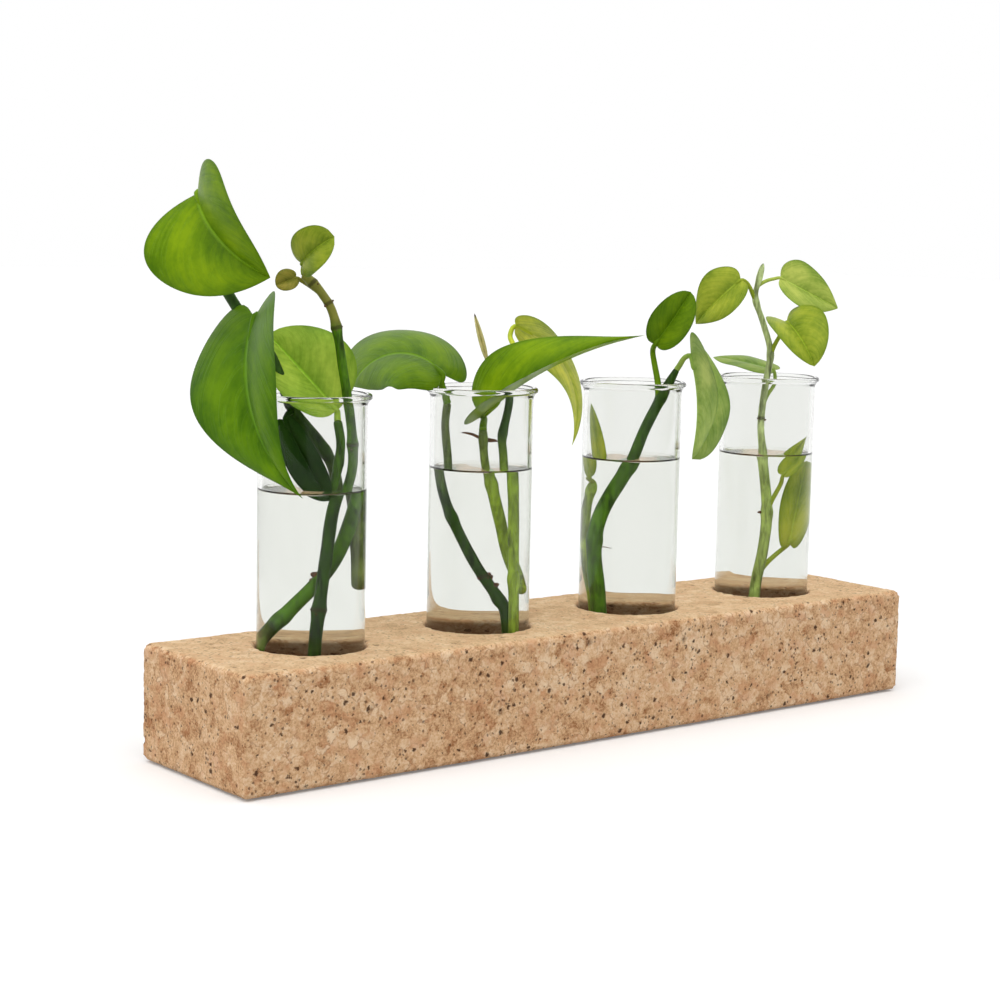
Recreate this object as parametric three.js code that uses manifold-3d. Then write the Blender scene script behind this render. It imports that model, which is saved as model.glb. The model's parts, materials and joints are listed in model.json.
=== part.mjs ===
// A propagation planter: a cork block with blind sockets, glass tubes standing in them,
// and rooted trailing-vine cuttings standing in the water of each tube.
// Millimetres, +Z up, +X along the row of tubes, origin at the centre of the block's underside.
import * as THREE from 'three';
import { mergeVertices } from 'three/addons/utils/BufferGeometryUtils.js';
import Module from 'manifold-3d';

const wasm = await Module();
wasm.setup();

// Cork block
const SIDE_WALL = 14; // cork beside a tube, front and back
const END_WALL = 27; // cork beyond the outer tubes
const UNDER_SOCKET = 12; // cork below a socket
const SOCKET_DEPTH = 28;
const SOCKET_CLEARANCE = 0.4; // round a tube, on the radius
const SOCKET_CHAMFER = 0.8; // broken edge of a socket's mouth
const BLOCK_EDGE = 1.6; // rounding of the block's edges

// Glass tubes
const TUBE_COUNT = 4;
const TUBE_PITCH = 70;
const TUBE_DIAMETER = 36;
const TUBE_WALL = 1.5;
const TUBE_FLOOR = 2;
const TUBE_LENGTH = 111.5;
const TUBE_HEEL = 3; // outer rounding of the closed end
const INNER_HEEL = 1.5; // inner rounding of the closed end
const LIP_FLARE = 1.5; // how far the lip stands out from the tube
const LIP_HEIGHT = 4; // from the start of the flare to the rim
const LIP_BEAD = 1.5; // upright edge above the flare
const LIP_ROUND = 0.7;

// Water
const WATER_GAP = 0.3; // to the glass and to each stem in it
const LEAF_ROOM = 0.6; // to a blade's thin margin
const MENISCUS_RISE = 0.9;
const MENISCUS_WIDTH = 2.2;
const MENISCUS_SAG = 0.3; // share of its rise and width at the middle of the curve

// Cuttings
const SEAT_GAP = 0.3; // between a leaf stalk and the stem that it grows from
const GLASS_GAP = 0.3; // between a cutting and the glass
const LEAF_THICKNESS = 0.7;
const LEAF_SHOULDER = 0.45; // how full a blade is towards its base
const LEAF_ROW = 5.5; // length of blade in one row of facets
const LEAF_COLUMNS = 4;
const LEAF_LEAST_ROWS = 5;
const LEAF_CROWDING = 1.25; // over 1, rows close up towards the base
const LOBE_FADE = 3; // how quickly the backward sweep of the lobes dies out along a blade
const MARGIN_EDGE = 4; // how late a blade thins towards its margin
const STALK_TAPER = 0.7; // stalk radius at the blade, as a share of that at the stem
const STALK_RUN_IN = 0.14; // how far a stalk runs on under the blade, as a share of its length
const STALK_LEAN = 0.5; // how much a stalk starts along its stem, against straight to its blade
const STALK_STRETCH = 0.4; // reach of a stalk's bend, as a share of its span
const STALK_TUCK = 1.5; // how much a stalk comes from behind its blade, against along the midrib
const STALK_SIDES = 6;
const STALK_STEPS = 5;
const STEM_SIDES = 8;
const STEM_STEP = 8; // length of stem in one ring of facets
const STEM_EASE = 0.5; // tension of the curve through a stem's route
const NODE_SWELL = 0.5; // how far the ring at a leaf node stands out
const NODE_LENGTH = 2.2;

const ROUND_SEGMENTS = 24;
const CORNER_STEP = 45; // degrees of a round edge in one facet
const WELD = 1e-4;

const blockLength = (TUBE_COUNT - 1) * TUBE_PITCH + TUBE_DIAMETER + 2 * END_WALL;
const blockWidth = TUBE_DIAMETER + 2 * SIDE_WALL;
const blockHeight = UNDER_SOCKET + SOCKET_DEPTH;
const tubeRadius = TUBE_DIAMETER / 2;
const boreRadius = tubeRadius - TUBE_WALL;
const boreDepth = TUBE_LENGTH - TUBE_FLOOR;

// Places on a cutting, measured from the centre of its tube's lip.
// inside: share of the free bore, bearing, share of the bore's depth.
// above: millimetres out from the axis, bearing, millimetres over the lip.
const inside = (share, bearing, depth) => ({ share, bearing, depth });
const above = (reach, bearing, height) => ({ reach, bearing, height });

// A leaf: the stem it grows from and how far along, where its base is, which way it points
// (heading round Z, rise over level, roll round its midrib), its length and width, how far the
// midrib droops, how each half folds up, how far the lobes reach back and how long its tip is.
const CUTTINGS = [
  {
    waterBelowLip: 32,
    stems: {
      short_stem: {
        radius: [1.8, 1.5],
        nodes: [0.37, 0.86],
        route: [inside(0.28, -120, 0.98), inside(0.23, -104, 0.76), inside(0.21, -81, 0.65),
          inside(0.26, -38, 0.49), inside(0.37, -27, 0.35), inside(0.55, -31, 0.255),
          inside(0.67, -26, 0.16), inside(0.61, -18, 0.085)],
      },
      leader_stem: {
        radius: [1.9, 1.4],
        nodes: [0.1, 0.57, 0.85, 0.97],
        route: [inside(0.97, 138, 0.79), inside(0.88, 130, 0.75), inside(0.51, 97, 0.655),
          inside(0.52, 39, 0.56), inside(0.66, 12, 0.465), inside(0.76, -16, 0.34),
          inside(0.94, -38, 0.23), inside(0.95, -46, 0.137), above(12, -52, -3), above(10.5, -55, 7),
          above(7.5, -61, 24.5), above(4, -85, 32.5), above(4, 178, 38.5)],
      },
      vine_stem: {
        radius: [2.2, 1.7],
        nodes: [0.36, 0.72],
        route: [inside(0.97, 2, 0.6), inside(0.97, 6, 0.46), inside(0.97, 19, 0.265),
          inside(0.6, 35, 0.165), above(6.5, 125, -6.5), above(10, 153, 3), above(15, 157, 13.5),
          above(24, 151, 26), above(32.5, 147, 40), above(37.5, 145, 50)],
      },
    },
    leaves: {
      top_leaf: {
        stem: 'vine_stem', along: 1, stalk: 1.5, base: above(38.7, 163, 63.7),
        heading: -112, rise: -47, roll: -80, length: 40, width: 50, droop: 65, folds: [12, 35],
        lobe: 0.01, tip: 1.01,
      },
      hanging_leaf: {
        stem: 'vine_stem', along: 0.73, stalk: 1.4, base: above(24, -175, 25),
        heading: -154, rise: -59, roll: -61, length: 66, width: 53, droop: 60, folds: [-20, 42],
        lobe: 0.11, tip: 1.53,
      },
      mouth_leaf: {
        stem: 'short_stem', along: 1, stalk: 1.2, base: above(8.5, -10, -5.8),
        heading: 146, rise: 48, roll: 82, length: 34, width: 34, droop: 20, folds: [50, 0],
        lobe: 0, tip: 0.62,
      },
      shaded_leaf: {
        stem: 'vine_stem', along: 0.5, stalk: 1.1, base: inside(0.6, 172, 0.08), inTube: true,
        heading: -30, rise: -65, roll: -114, length: 30, width: 13, droop: 15, folds: [15, 20],
        lobe: 0.08, tip: 0.5,
      },
      young_leaf: {
        stem: 'leader_stem', along: 1, stalk: 0.9, base: above(6, -165, 42),
        heading: -107, rise: 28, roll: -98, length: 19, width: 16, droop: 39, folds: [29, 10],
        lobe: 0.07, tip: 0.5,
      },
      leaf_bud: {
        stem: 'leader_stem', along: 0.93, stalk: 0.9, base: above(6.1, 161, 37.3),
        heading: 163, rise: -16, roll: 67, length: 7, width: 8, droop: 25, folds: [20, 20],
        lobe: 0.1, tip: 0.6,
      },
    },
  },
  {
    waterBelowLip: 28.5,
    stems: {
      left_stem: {
        radius: [1.7, 1.4],
        nodes: [0.32, 0.62],
        route: [inside(0.64, -38, 0.98), inside(0.55, -38, 0.74), inside(0.37, -38, 0.67),
          inside(0.09, 142, 0.555), inside(0.58, 142, 0.395), inside(0.78, 142, 0.29),
          inside(0.83, 142, 0.22), inside(0.9, 142, 0.125), above(12, 142, -6)],
      },
      middle_stem: {
        radius: [1.6, 1.4],
        nodes: [0.68, 0.94],
        route: [inside(0.84, -30, 0.66), inside(0.67, 2, 0.55), inside(0.43, 2, 0.41),
          inside(0.23, -2, 0.3), inside(0.08, -38, 0.22), inside(0.15, -113, 0.137)],
      },
      right_stem: {
        radius: [1.8, 1.4],
        nodes: [0.33, 0.74],
        route: [inside(0.88, -66, 0.98), inside(0.81, -59, 0.75), inside(0.71, -50, 0.55),
          inside(0.64, -38, 0.36), inside(0.58, -25, 0.22), inside(0.57, -17, 0.16),
          inside(0.77, -11, 0.06), above(12, -5, 3), above(22, 12, 7)],
      },
    },
    leaves: {
      arched_leaf: {
        stem: 'left_stem', along: 1, stalk: 1.4, base: above(14, 146, 4),
        heading: 129, rise: 51, roll: -12, length: 38, width: 56, droop: 122, folds: [-30, 25],
        lobe: 0.18, tip: 0.42,
      },
      long_leaf: {
        stem: 'middle_stem', along: 1, stalk: 1.4, base: above(7, 49, -10.8),
        heading: -80, rise: 40, roll: -80, length: 67, width: 36, droop: 66, folds: [0, 66],
        lobe: 0.04, tip: 1.75,
      },
      drooping_leaf: {
        stem: 'right_stem', along: 1, stalk: 1.1, base: above(32.6, 31, 19.7),
        heading: -51, rise: -16, roll: 14, length: 54, width: 27, droop: 92, folds: [-27, 18],
        lobe: 0.02, tip: 1.21,
      },
      rolled_leaf: {
        stem: 'right_stem', along: 0.86, stalk: 1.0, base: above(14, 46, 8.3),
        heading: 159, rise: 73, roll: 107, length: 17, width: 3.4, droop: 10, folds: [50, 50],
        lobe: 0, tip: 0.7, pale: true,
      },
    },
  },
  {
    waterBelowLip: 28.5,
    stems: {
      thick_stem: {
        radius: [2.7, 1.8],
        nodes: [0.41, 0.66, 0.9],
        route: [inside(0.62, 160, 0.975), inside(0.67, 154, 0.75), inside(0.73, 142, 0.625),
          inside(0.75, 142, 0.525), inside(0.57, 142, 0.43), inside(0.17, 142, 0.32),
          inside(0.08, -38, 0.255), inside(0.38, -38, 0.16), above(11, -38, -5), above(16, -38, 4.6)],
      },
      pale_shoot: {
        radius: [1.1, 0.9],
        nodes: [0.96],
        route: [inside(0.67, 92, 0.97), inside(0.75, 96, 0.76), inside(0.83, 102, 0.62),
          inside(0.85, 102, 0.455), inside(0.77, 100, 0.35)],
      },
    },
    leaves: {
      upright_leaf: {
        stem: 'thick_stem', along: 0.88, stalk: 1.3, base: above(7.8, -38, 13.6),
        heading: -63, rise: 54, roll: -119, length: 23, width: 16, droop: 18, folds: [6, 36],
        lobe: 0.04, tip: 0.6,
      },
      side_leaf: {
        stem: 'thick_stem', along: 1, stalk: 1.1, base: above(21, -50, 9.5),
        heading: -94, rise: -61, roll: 43, length: 39, width: 34, droop: 32, folds: [30, 32],
        lobe: 0.22, tip: 0.6,
      },
      shoot_leaf: {
        stem: 'pale_shoot', along: 1, stalk: 0.8, base: inside(0.7, 118, 0.33), inTube: true,
        heading: 165, rise: 80, roll: 99, length: 28, width: 6, droop: 14, folds: [22, 14],
        lobe: 0, tip: 0.8, pale: true,
      },
    },
  },
  {
    waterBelowLip: 30,
    stems: {
      leader_stem: {
        radius: [1.9, 1.0],
        nodes: [0.36, 0.51, 0.76, 0.9],
        route: [inside(0.32, -172, 0.98), inside(0.2, -172, 0.75), inside(0.07, -118, 0.61),
          inside(0.07, -38, 0.47), inside(0.06, 142, 0.29), inside(0.16, 142, 0.173),
          inside(0.08, 142, 0.04), above(0.5, -38, 8.5), above(2.5, 142, 19.5), above(6, 142, 29.5),
          above(5, 142, 36.5), above(3.5, 142, 43)],
      },
    },
    leaves: {
      left_leaf: {
        stem: 'leader_stem', along: 0.9, stalk: 0.9, base: above(12.5, 155, 36.5),
        heading: 133, rise: -39, roll: 58, length: 25, width: 22, droop: 25, folds: [14, 13],
        lobe: 0.07, tip: 0.97,
      },
      right_leaf: {
        stem: 'leader_stem', along: 0.94, stalk: 0.8, base: above(4, -9, 37.5),
        heading: -19, rise: -24, roll: -62, length: 28, width: 22, droop: 1, folds: [14, 15],
        lobe: 0.05, tip: 0.96,
      },
      lower_leaf: {
        stem: 'leader_stem', along: 0.76, stalk: 0.9, base: above(8, -85, 21),
        heading: -110, rise: -15, roll: -15, length: 26, width: 25, droop: 49, folds: [30, 28],
        lobe: 0.21, tip: 0.74,
      },
      lip_leaf: {
        stem: 'leader_stem', along: 0.63, stalk: 0.9, base: above(9.5, 33, 1.5),
        heading: 114, rise: 14, roll: 15, length: 26, width: 20, droop: 11, folds: [6, -5],
        lobe: 0.07, tip: 0.83,
      },
      neck_leaf: {
        stem: 'leader_stem', along: 0.36, stalk: 0.8, base: inside(0.38, -70, 0.345), inTube: true,
        heading: -30, rise: 52, roll: -50, length: 18, width: 8, droop: -15, folds: [13, 15],
        lobe: 0.04, tip: 1.2,
      },
      water_leaf: {
        stem: 'leader_stem', along: 0.2, stalk: 0.9, base: inside(0.5, -20, 0.59), inTube: true,
        heading: -30, rise: 83, roll: -93, length: 32, width: 10, droop: 12, folds: [14, 14],
        lobe: 0.1, tip: 0.6,
      },
    },
  },
];

const corkColour = new THREE.MeshStandardMaterial({ color: 0xc79d70, roughness: 0.9, metalness: 0 });
const glassColour = new THREE.MeshStandardMaterial({
  color: 0xe9eef0, roughness: 0.05, metalness: 0, transparent: true, opacity: 0.3,
});
const waterColour = new THREE.MeshStandardMaterial({
  color: 0xdfe8e8, roughness: 0.03, metalness: 0, transparent: true, opacity: 0.35,
});
const stemColour = new THREE.MeshStandardMaterial({ color: 0x55752c, roughness: 0.5, metalness: 0 });
const leafColour = new THREE.MeshStandardMaterial({ color: 0x5f9a2c, roughness: 0.35, metalness: 0 });
const paleColour = new THREE.MeshStandardMaterial({ color: 0xa9b36a, roughness: 0.5, metalness: 0 });

function toSolid(geometry) {
  const bare = geometry.clone();
  bare.deleteAttribute('normal');
  bare.deleteAttribute('uv');
  const merged = mergeVertices(bare, WELD);
  return new wasm.Manifold(new wasm.Mesh({
    numProp: 3,
    vertProperties: new Float32Array(merged.attributes.position.array),
    triVerts: new Uint32Array(merged.index.array),
  }));
}

function toGeometry(solid) {
  const mesh = solid.getMesh();
  const geometry = new THREE.BufferGeometry();
  geometry.setAttribute('position', new THREE.BufferAttribute(mesh.vertProperties, 3));
  geometry.setIndex(new THREE.BufferAttribute(mesh.triVerts, 1));
  geometry.computeVertexNormals();
  return geometry;
}

function faceted(points, faces) {
  const geometry = new THREE.BufferGeometry();
  const numbers = points.flatMap((point) => point.toArray());
  geometry.setAttribute('position', new THREE.Float32BufferAttribute(numbers, 3));
  geometry.setIndex(faces);
  return geometry;
}

function named(name, geometry, material) {
  const mesh = new THREE.Mesh(geometry, material.clone());
  mesh.name = name;
  return mesh;
}

// A profile of radius and height turned round Z, all turned pieces with the same facets.
function turned(profile) {
  const points = profile.map(([radius, height]) => new THREE.Vector2(radius, height));
  return new THREE.LatheGeometry(points, ROUND_SEGMENTS).rotateX(Math.PI / 2);
}

// Points of a round edge from one angle to another, in degrees, around a centre.
function corner(centreRadius, centreHeight, radius, from, to) {
  const steps = Math.round(Math.abs(to - from) / CORNER_STEP);
  const points = [];
  for (let step = 0; step <= steps; step += 1) {
    const angle = THREE.MathUtils.degToRad(from + ((to - from) * step) / steps);
    points.push([centreRadius + radius * Math.cos(angle), centreHeight + radius * Math.sin(angle)]);
  }
  return points;
}

const tubePlace = (index) => (index - (TUBE_COUNT - 1) / 2) * TUBE_PITCH;

function corkBlock() {
  const halfLength = blockLength / 2 - BLOCK_EDGE;
  const halfWidth = blockWidth / 2 - BLOCK_EDGE;
  const outline = new THREE.Shape([
    new THREE.Vector2(-halfLength, -halfWidth),
    new THREE.Vector2(halfLength, -halfWidth),
    new THREE.Vector2(halfLength, halfWidth),
    new THREE.Vector2(-halfLength, halfWidth),
  ]);
  const body = new THREE.ExtrudeGeometry(outline, {
    depth: blockHeight - 2 * BLOCK_EDGE,
    bevelThickness: BLOCK_EDGE,
    bevelSize: BLOCK_EDGE,
    bevelSegments: 90 / CORNER_STEP,
  }).translate(0, 0, BLOCK_EDGE);
  const socketRadius = tubeRadius + SOCKET_CLEARANCE;
  const socket = turned([
    [0, UNDER_SOCKET],
    [socketRadius, UNDER_SOCKET],
    [socketRadius, blockHeight - SOCKET_CHAMFER],
    [socketRadius + 2 * SOCKET_CHAMFER, blockHeight + SOCKET_CHAMFER],
    [0, blockHeight + SOCKET_CHAMFER],
  ]);
  let block = toSolid(body);
  for (let index = 0; index < TUBE_COUNT; index += 1) {
    block = block.subtract(toSolid(socket.clone().translate(tubePlace(index), 0, 0)));
  }
  return toGeometry(block);
}

// The tube stands with its closed end at z 0.
function glassTube() {
  const lipRadius = tubeRadius + LIP_FLARE;
  const lipFoot = TUBE_LENGTH - LIP_HEIGHT;
  return turned([
    [0, 0],
    ...corner(tubeRadius - TUBE_HEEL, TUBE_HEEL, TUBE_HEEL, -90, 0),
    [tubeRadius, lipFoot],
    [lipRadius, TUBE_LENGTH - LIP_BEAD],
    ...corner(lipRadius - LIP_ROUND, TUBE_LENGTH - LIP_ROUND, LIP_ROUND, 0, 180),
    [boreRadius, lipFoot],
    ...corner(boreRadius - INNER_HEEL, TUBE_FLOOR + INNER_HEEL, INNER_HEEL, 0, -90),
    [0, TUBE_FLOOR],
  ]);
}

function waterColumn(level) {
  const radius = boreRadius - WATER_GAP;
  const bottom = TUBE_FLOOR + WATER_GAP;
  return turned([
    [0, bottom],
    ...corner(radius - INNER_HEEL, bottom + INNER_HEEL, INNER_HEEL, -90, 0),
    [radius, level + MENISCUS_RISE],
    [radius - MENISCUS_WIDTH * MENISCUS_SAG, level + MENISCUS_RISE * MENISCUS_SAG],
    [radius - MENISCUS_WIDTH, level],
    [0, level],
  ]);
}

// The free room in a tube, from its floor to well over its lip.
function boreRoom() {
  const radius = boreRadius - GLASS_GAP;
  return turned([[0, -boreDepth], [radius, -boreDepth], [radius, TUBE_LENGTH], [0, TUBE_LENGTH]]);
}

function place(spot, girth) {
  const bearing = THREE.MathUtils.degToRad(spot.bearing);
  const isInside = spot.share !== undefined;
  const reach = isInside ? spot.share * (boreRadius - girth - GLASS_GAP) : spot.reach;
  const height = isInside ? -spot.depth * boreDepth : spot.height;
  return new THREE.Vector3(reach * Math.cos(bearing), reach * Math.sin(bearing), height);
}

// A round limb along a curve, whose radius follows a rule of the share along it.
// Where it stands for the room that it needs, it is wider and longer by the gap.
function limb(curve, radiusAt, steps, sides, gap) {
  const frames = curve.computeFrenetFrames(steps, false);
  const centres = [];
  const points = [];
  const faces = [];
  for (let step = 0; step <= steps; step += 1) {
    const centre = curve.getPointAt(step / steps);
    const radius = radiusAt(step / steps) + gap;
    if (step === 0) centre.addScaledVector(frames.tangents[step], -gap);
    if (step === steps) centre.addScaledVector(frames.tangents[step], gap);
    centres.push(centre);
    for (let side = 0; side < sides; side += 1) {
      const angle = (2 * Math.PI * side) / sides;
      points.push(centre.clone()
        .addScaledVector(frames.normals[step], radius * Math.cos(angle))
        .addScaledVector(frames.binormals[step], radius * Math.sin(angle)));
    }
  }
  const foot = points.push(centres[0]) - 1;
  const head = points.push(centres[steps]) - 1;
  const last = steps * sides;
  for (let side = 0; side < sides; side += 1) {
    const next = (side + 1) % sides;
    faces.push(foot, next, side, head, last + side, last + next);
    for (let row = 0; row < last; row += sides) {
      faces.push(row + side, row + next, row + sides + next);
      faces.push(row + side, row + sides + next, row + sides + side);
    }
  }
  return faceted(points, faces);
}

function stemCurve(stem) {
  const girth = stem.radius[0] + NODE_SWELL;
  const points = stem.route.map((spot) => place(spot, girth));
  return new THREE.CatmullRomCurve3(points, false, 'catmullrom', STEM_EASE);
}

function stemRadius(stem, along, length) {
  const plain = THREE.MathUtils.lerp(stem.radius[0], stem.radius[1], along);
  const offsets = stem.nodes.map((node) => Math.abs(along - node) * length);
  const nearest = Math.min(...offsets) / NODE_LENGTH;
  return plain + NODE_SWELL * Math.exp(-nearest * nearest);
}

function stemSolid(stem, gap) {
  const curve = stemCurve(stem);
  const length = curve.getLength();
  const steps = Math.round(length / STEM_STEP);
  return toSolid(limb(curve, (along) => stemRadius(stem, along, length), steps, STEM_SIDES, gap));
}

function leafFrame(leaf) {
  const heading = THREE.MathUtils.degToRad(leaf.heading);
  const rise = THREE.MathUtils.degToRad(leaf.rise);
  const forward = new THREE.Vector3(
    Math.cos(heading) * Math.cos(rise),
    Math.sin(heading) * Math.cos(rise),
    Math.sin(rise),
  );
  const level = new THREE.Vector3(-Math.sin(heading), Math.cos(heading), 0);
  const face = new THREE.Vector3().crossVectors(forward, level)
    .applyAxisAngle(forward, -THREE.MathUtils.degToRad(leaf.roll));
  return { forward, face, left: new THREE.Vector3().crossVectors(face, forward) };
}

// The midrib is an arc: its point and its own face direction at a share of the leaf's length.
function midrib(leaf, frame, share) {
  const bend = THREE.MathUtils.degToRad(leaf.droop);
  const radius = leaf.length / bend;
  const turn = bend * share;
  const point = place(leaf.base, 0)
    .addScaledVector(frame.forward, radius * Math.sin(turn))
    .addScaledVector(frame.face, -radius * (1 - Math.cos(turn)));
  const face = frame.face.clone().multiplyScalar(Math.cos(turn))
    .addScaledVector(frame.forward, Math.sin(turn));
  return { point, face };
}

// Half width of a blade as a share of its greatest, from the base at 0 to the tip at 1.
function fullness(leaf, share) {
  const rule = (at) => at ** LEAF_SHOULDER * (1 - at) ** leaf.tip;
  return rule(share) / rule(LEAF_SHOULDER / (LEAF_SHOULDER + leaf.tip));
}

// A blade is one grid for its face and one for its back, which meet along the margin.
function blade(leaf, gap) {
  const frame = leafFrame(leaf);
  const halfWidth = leaf.width / 2 + gap;
  const halfThickness = LEAF_THICKNESS / 2 + gap;
  const rows = Math.max(LEAF_LEAST_ROWS, Math.round(leaf.length / LEAF_ROW));
  const beyond = gap / leaf.length;
  const points = [-beyond, 1 + beyond].map((share) => midrib(leaf, frame, share).point);
  const grids = [1, -1].map(() => []);
  for (let row = 1; row < rows; row += 1) {
    const share = (row / rows) ** LEAF_CROWDING;
    grids.forEach((grid) => grid.push([]));
    for (let column = 0; column <= LEAF_COLUMNS; column += 1) {
      const across = (2 * column) / LEAF_COLUMNS - 1;
      const spread = Math.abs(across) * fullness(leaf, share);
      const along = share - leaf.lobe * Math.sin(Math.PI * spread) * (1 - share) ** LOBE_FADE;
      const fold = THREE.MathUtils.degToRad(across >= 0 ? leaf.folds[0] : leaf.folds[1]);
      const { point, face } = midrib(leaf, frame, along);
      point.addScaledVector(frame.left, Math.sign(across) * spread * halfWidth * Math.cos(fold));
      point.addScaledVector(face, spread * halfWidth * Math.sin(fold));
      const half = halfThickness * (1 - across ** MARGIN_EDGE);
      const isMargin = column === 0 || column === LEAF_COLUMNS;
      const front = points.push(point.clone().addScaledVector(face, half)) - 1;
      const back = isMargin ? front : points.push(point.clone().addScaledVector(face, -half)) - 1;
      grids[0].at(-1).push(front);
      grids[1].at(-1).push(back);
    }
  }
  const faces = [];
  grids.forEach((grid, side) => {
    const add = (a, b, c) => faces.push(...(side === 0 ? [a, b, c] : [a, c, b]));
    for (let column = 0; column < LEAF_COLUMNS; column += 1) {
      add(0, grid[0][column], grid[0][column + 1]);
      add(1, grid.at(-1)[column + 1], grid.at(-1)[column]);
      for (let row = 0; row + 1 < grid.length; row += 1) {
        add(grid[row][column], grid[row + 1][column], grid[row + 1][column + 1]);
        add(grid[row][column], grid[row + 1][column + 1], grid[row][column + 1]);
      }
    }
  });
  return toSolid(faceted(points, faces));
}

// The stalk leaves the stem along it, bends over and runs in under the midrib.
function stalk(leaf, stem, gap) {
  const frame = leafFrame(leaf);
  const curve = stemCurve(stem);
  const root = curve.getPointAt(leaf.along);
  const end = midrib(leaf, frame, STALK_RUN_IN);
  const base = midrib(leaf, frame, 0).point;
  const stretch = root.distanceTo(base) * STALK_STRETCH;
  const leave = curve.getTangentAt(leaf.along)
    .multiplyScalar(STALK_LEAN)
    .add(base.clone().sub(root).normalize())
    .normalize();
  const arrive = frame.forward.clone().addScaledVector(frame.face, STALK_TUCK).normalize();
  const bend = new THREE.CubicBezierCurve3(
    root,
    root.clone().addScaledVector(leave, stretch),
    base.clone().addScaledVector(arrive, -stretch),
    base,
  );
  const path = new THREE.CatmullRomCurve3(
    [...bend.getPoints(STALK_STEPS - 1), end.point.addScaledVector(end.face, -LEAF_THICKNESS / 2)],
    false,
    'centripetal',
  );
  const radiusAt = (along) => leaf.stalk * THREE.MathUtils.lerp(1, STALK_TAPER, along);
  return toSolid(limb(path, radiusAt, STALK_STEPS, STALK_SIDES, gap));
}

function leafRoom(leaf, stem, gap) {
  return blade(leaf, gap).add(stalk(leaf, stem, gap));
}

function leafSolid(leaf, stems) {
  const stem = stems[leaf.stem];
  let solid = leafRoom(leaf, stem, 0);
  Object.values(stems).forEach((other) => {
    solid = solid.subtract(stemSolid(other, SEAT_GAP));
  });
  return leaf.inTube ? solid.intersect(toSolid(boreRoom())) : solid;
}

function cuttingGroup(cutting, prefix) {
  const group = new THREE.Group();
  Object.entries(cutting.stems).forEach(([name, stem]) => {
    group.add(named(`${prefix}_${name}`, toGeometry(stemSolid(stem, 0)), stemColour));
  });
  Object.entries(cutting.leaves).forEach(([name, leaf]) => {
    const material = leaf.pale ? paleColour : leafColour;
    group.add(named(`${prefix}_${name}`, toGeometry(leafSolid(leaf, cutting.stems)), material));
  });
  group.position.z = TUBE_LENGTH;
  return group;
}

// Water fills what the stems and leaves in it leave free.
function waterSolid(cutting) {
  let water = toSolid(waterColumn(TUBE_LENGTH - cutting.waterBelowLip));
  const rooms = Object.values(cutting.stems).map((stem) => stemSolid(stem, WATER_GAP));
  Object.values(cutting.leaves).forEach((leaf) => {
    rooms.push(leafRoom(leaf, cutting.stems[leaf.stem], LEAF_ROOM));
  });
  rooms.forEach((room) => {
    water = water.subtract(room.translate([0, 0, TUBE_LENGTH]));
  });
  return water;
}

const planter = new THREE.Group();
planter.add(named('cork_block', corkBlock(), corkColour));
CUTTINGS.forEach((cutting, index) => {
  const number = index + 1;
  const tube = new THREE.Group();
  tube.position.set(tubePlace(index), 0, UNDER_SOCKET);
  tube.add(named(`glass_tube_${number}`, glassTube(), glassColour));
  tube.add(named(`water_${number}`, toGeometry(waterSolid(cutting)), waterColour));
  tube.add(cuttingGroup(cutting, `cutting_${number}`));
  planter.add(tube);
});

export default planter;
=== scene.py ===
"""Looks of a propagation planter: cork block, glass tubes, water and rooted vine cuttings.

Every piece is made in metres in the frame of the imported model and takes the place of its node.
"""

import functools
import json
import math
from typing import NamedTuple

import bmesh
import bpy
import numpy as np
from mathutils import Matrix, Vector, noise


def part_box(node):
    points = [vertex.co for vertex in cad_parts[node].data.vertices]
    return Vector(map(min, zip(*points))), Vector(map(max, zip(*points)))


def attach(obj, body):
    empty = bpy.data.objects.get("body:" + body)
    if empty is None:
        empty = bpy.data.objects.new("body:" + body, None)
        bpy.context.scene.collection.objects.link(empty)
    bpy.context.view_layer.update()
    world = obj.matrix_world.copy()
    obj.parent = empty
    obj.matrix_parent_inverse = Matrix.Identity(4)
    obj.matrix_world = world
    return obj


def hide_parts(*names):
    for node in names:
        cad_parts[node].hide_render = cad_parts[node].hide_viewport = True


bl_info = {
    "name": "Propagation planter",
    "version": (1, 0, 0),
    "blender": (4, 5, 0),
    "location": "View3D > Sidebar > Planter",
    "description": "Cork block with glass tubes, water and rooted vine cuttings",
    "category": "Add Mesh",
}

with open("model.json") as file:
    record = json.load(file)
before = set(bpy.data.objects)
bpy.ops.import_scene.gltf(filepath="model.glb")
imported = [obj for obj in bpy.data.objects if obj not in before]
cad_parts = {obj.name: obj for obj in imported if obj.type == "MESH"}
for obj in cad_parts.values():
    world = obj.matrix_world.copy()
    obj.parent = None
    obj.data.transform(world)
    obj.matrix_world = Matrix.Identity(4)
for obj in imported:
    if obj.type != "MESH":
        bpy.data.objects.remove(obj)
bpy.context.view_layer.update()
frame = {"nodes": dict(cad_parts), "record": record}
MM = 0.001
TUBES = (1, 2, 3, 4)
CLOSE = 1e-6
CRISP_EDGE = 50


def linear(red, green, blue):
    """A colour written in 0 to 255 as it shows on a screen, as a shader's linear colour."""

    def channel(value):
        share = value / 255
        return share / 12.92 if share <= 0.04045 else ((share + 0.055) / 1.055) ** 2.4

    return tuple(channel(value) for value in (red, green, blue))


# Shapes of the cuttings, in millimetres and degrees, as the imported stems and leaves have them


class Stem(NamedTuple):
    """A stem: radius at foot and head, leaf nodes, route, tones in and over the water, scars.

    Its head may be dry from a share on, end in a bud or narrow into a stalk, over a length.
    """

    radius: tuple
    nodes: tuple
    route: tuple
    tones: tuple
    scars: tuple
    dry_from: float = 1.0
    bud: float = 0.0
    merge: float = 0.0


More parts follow.
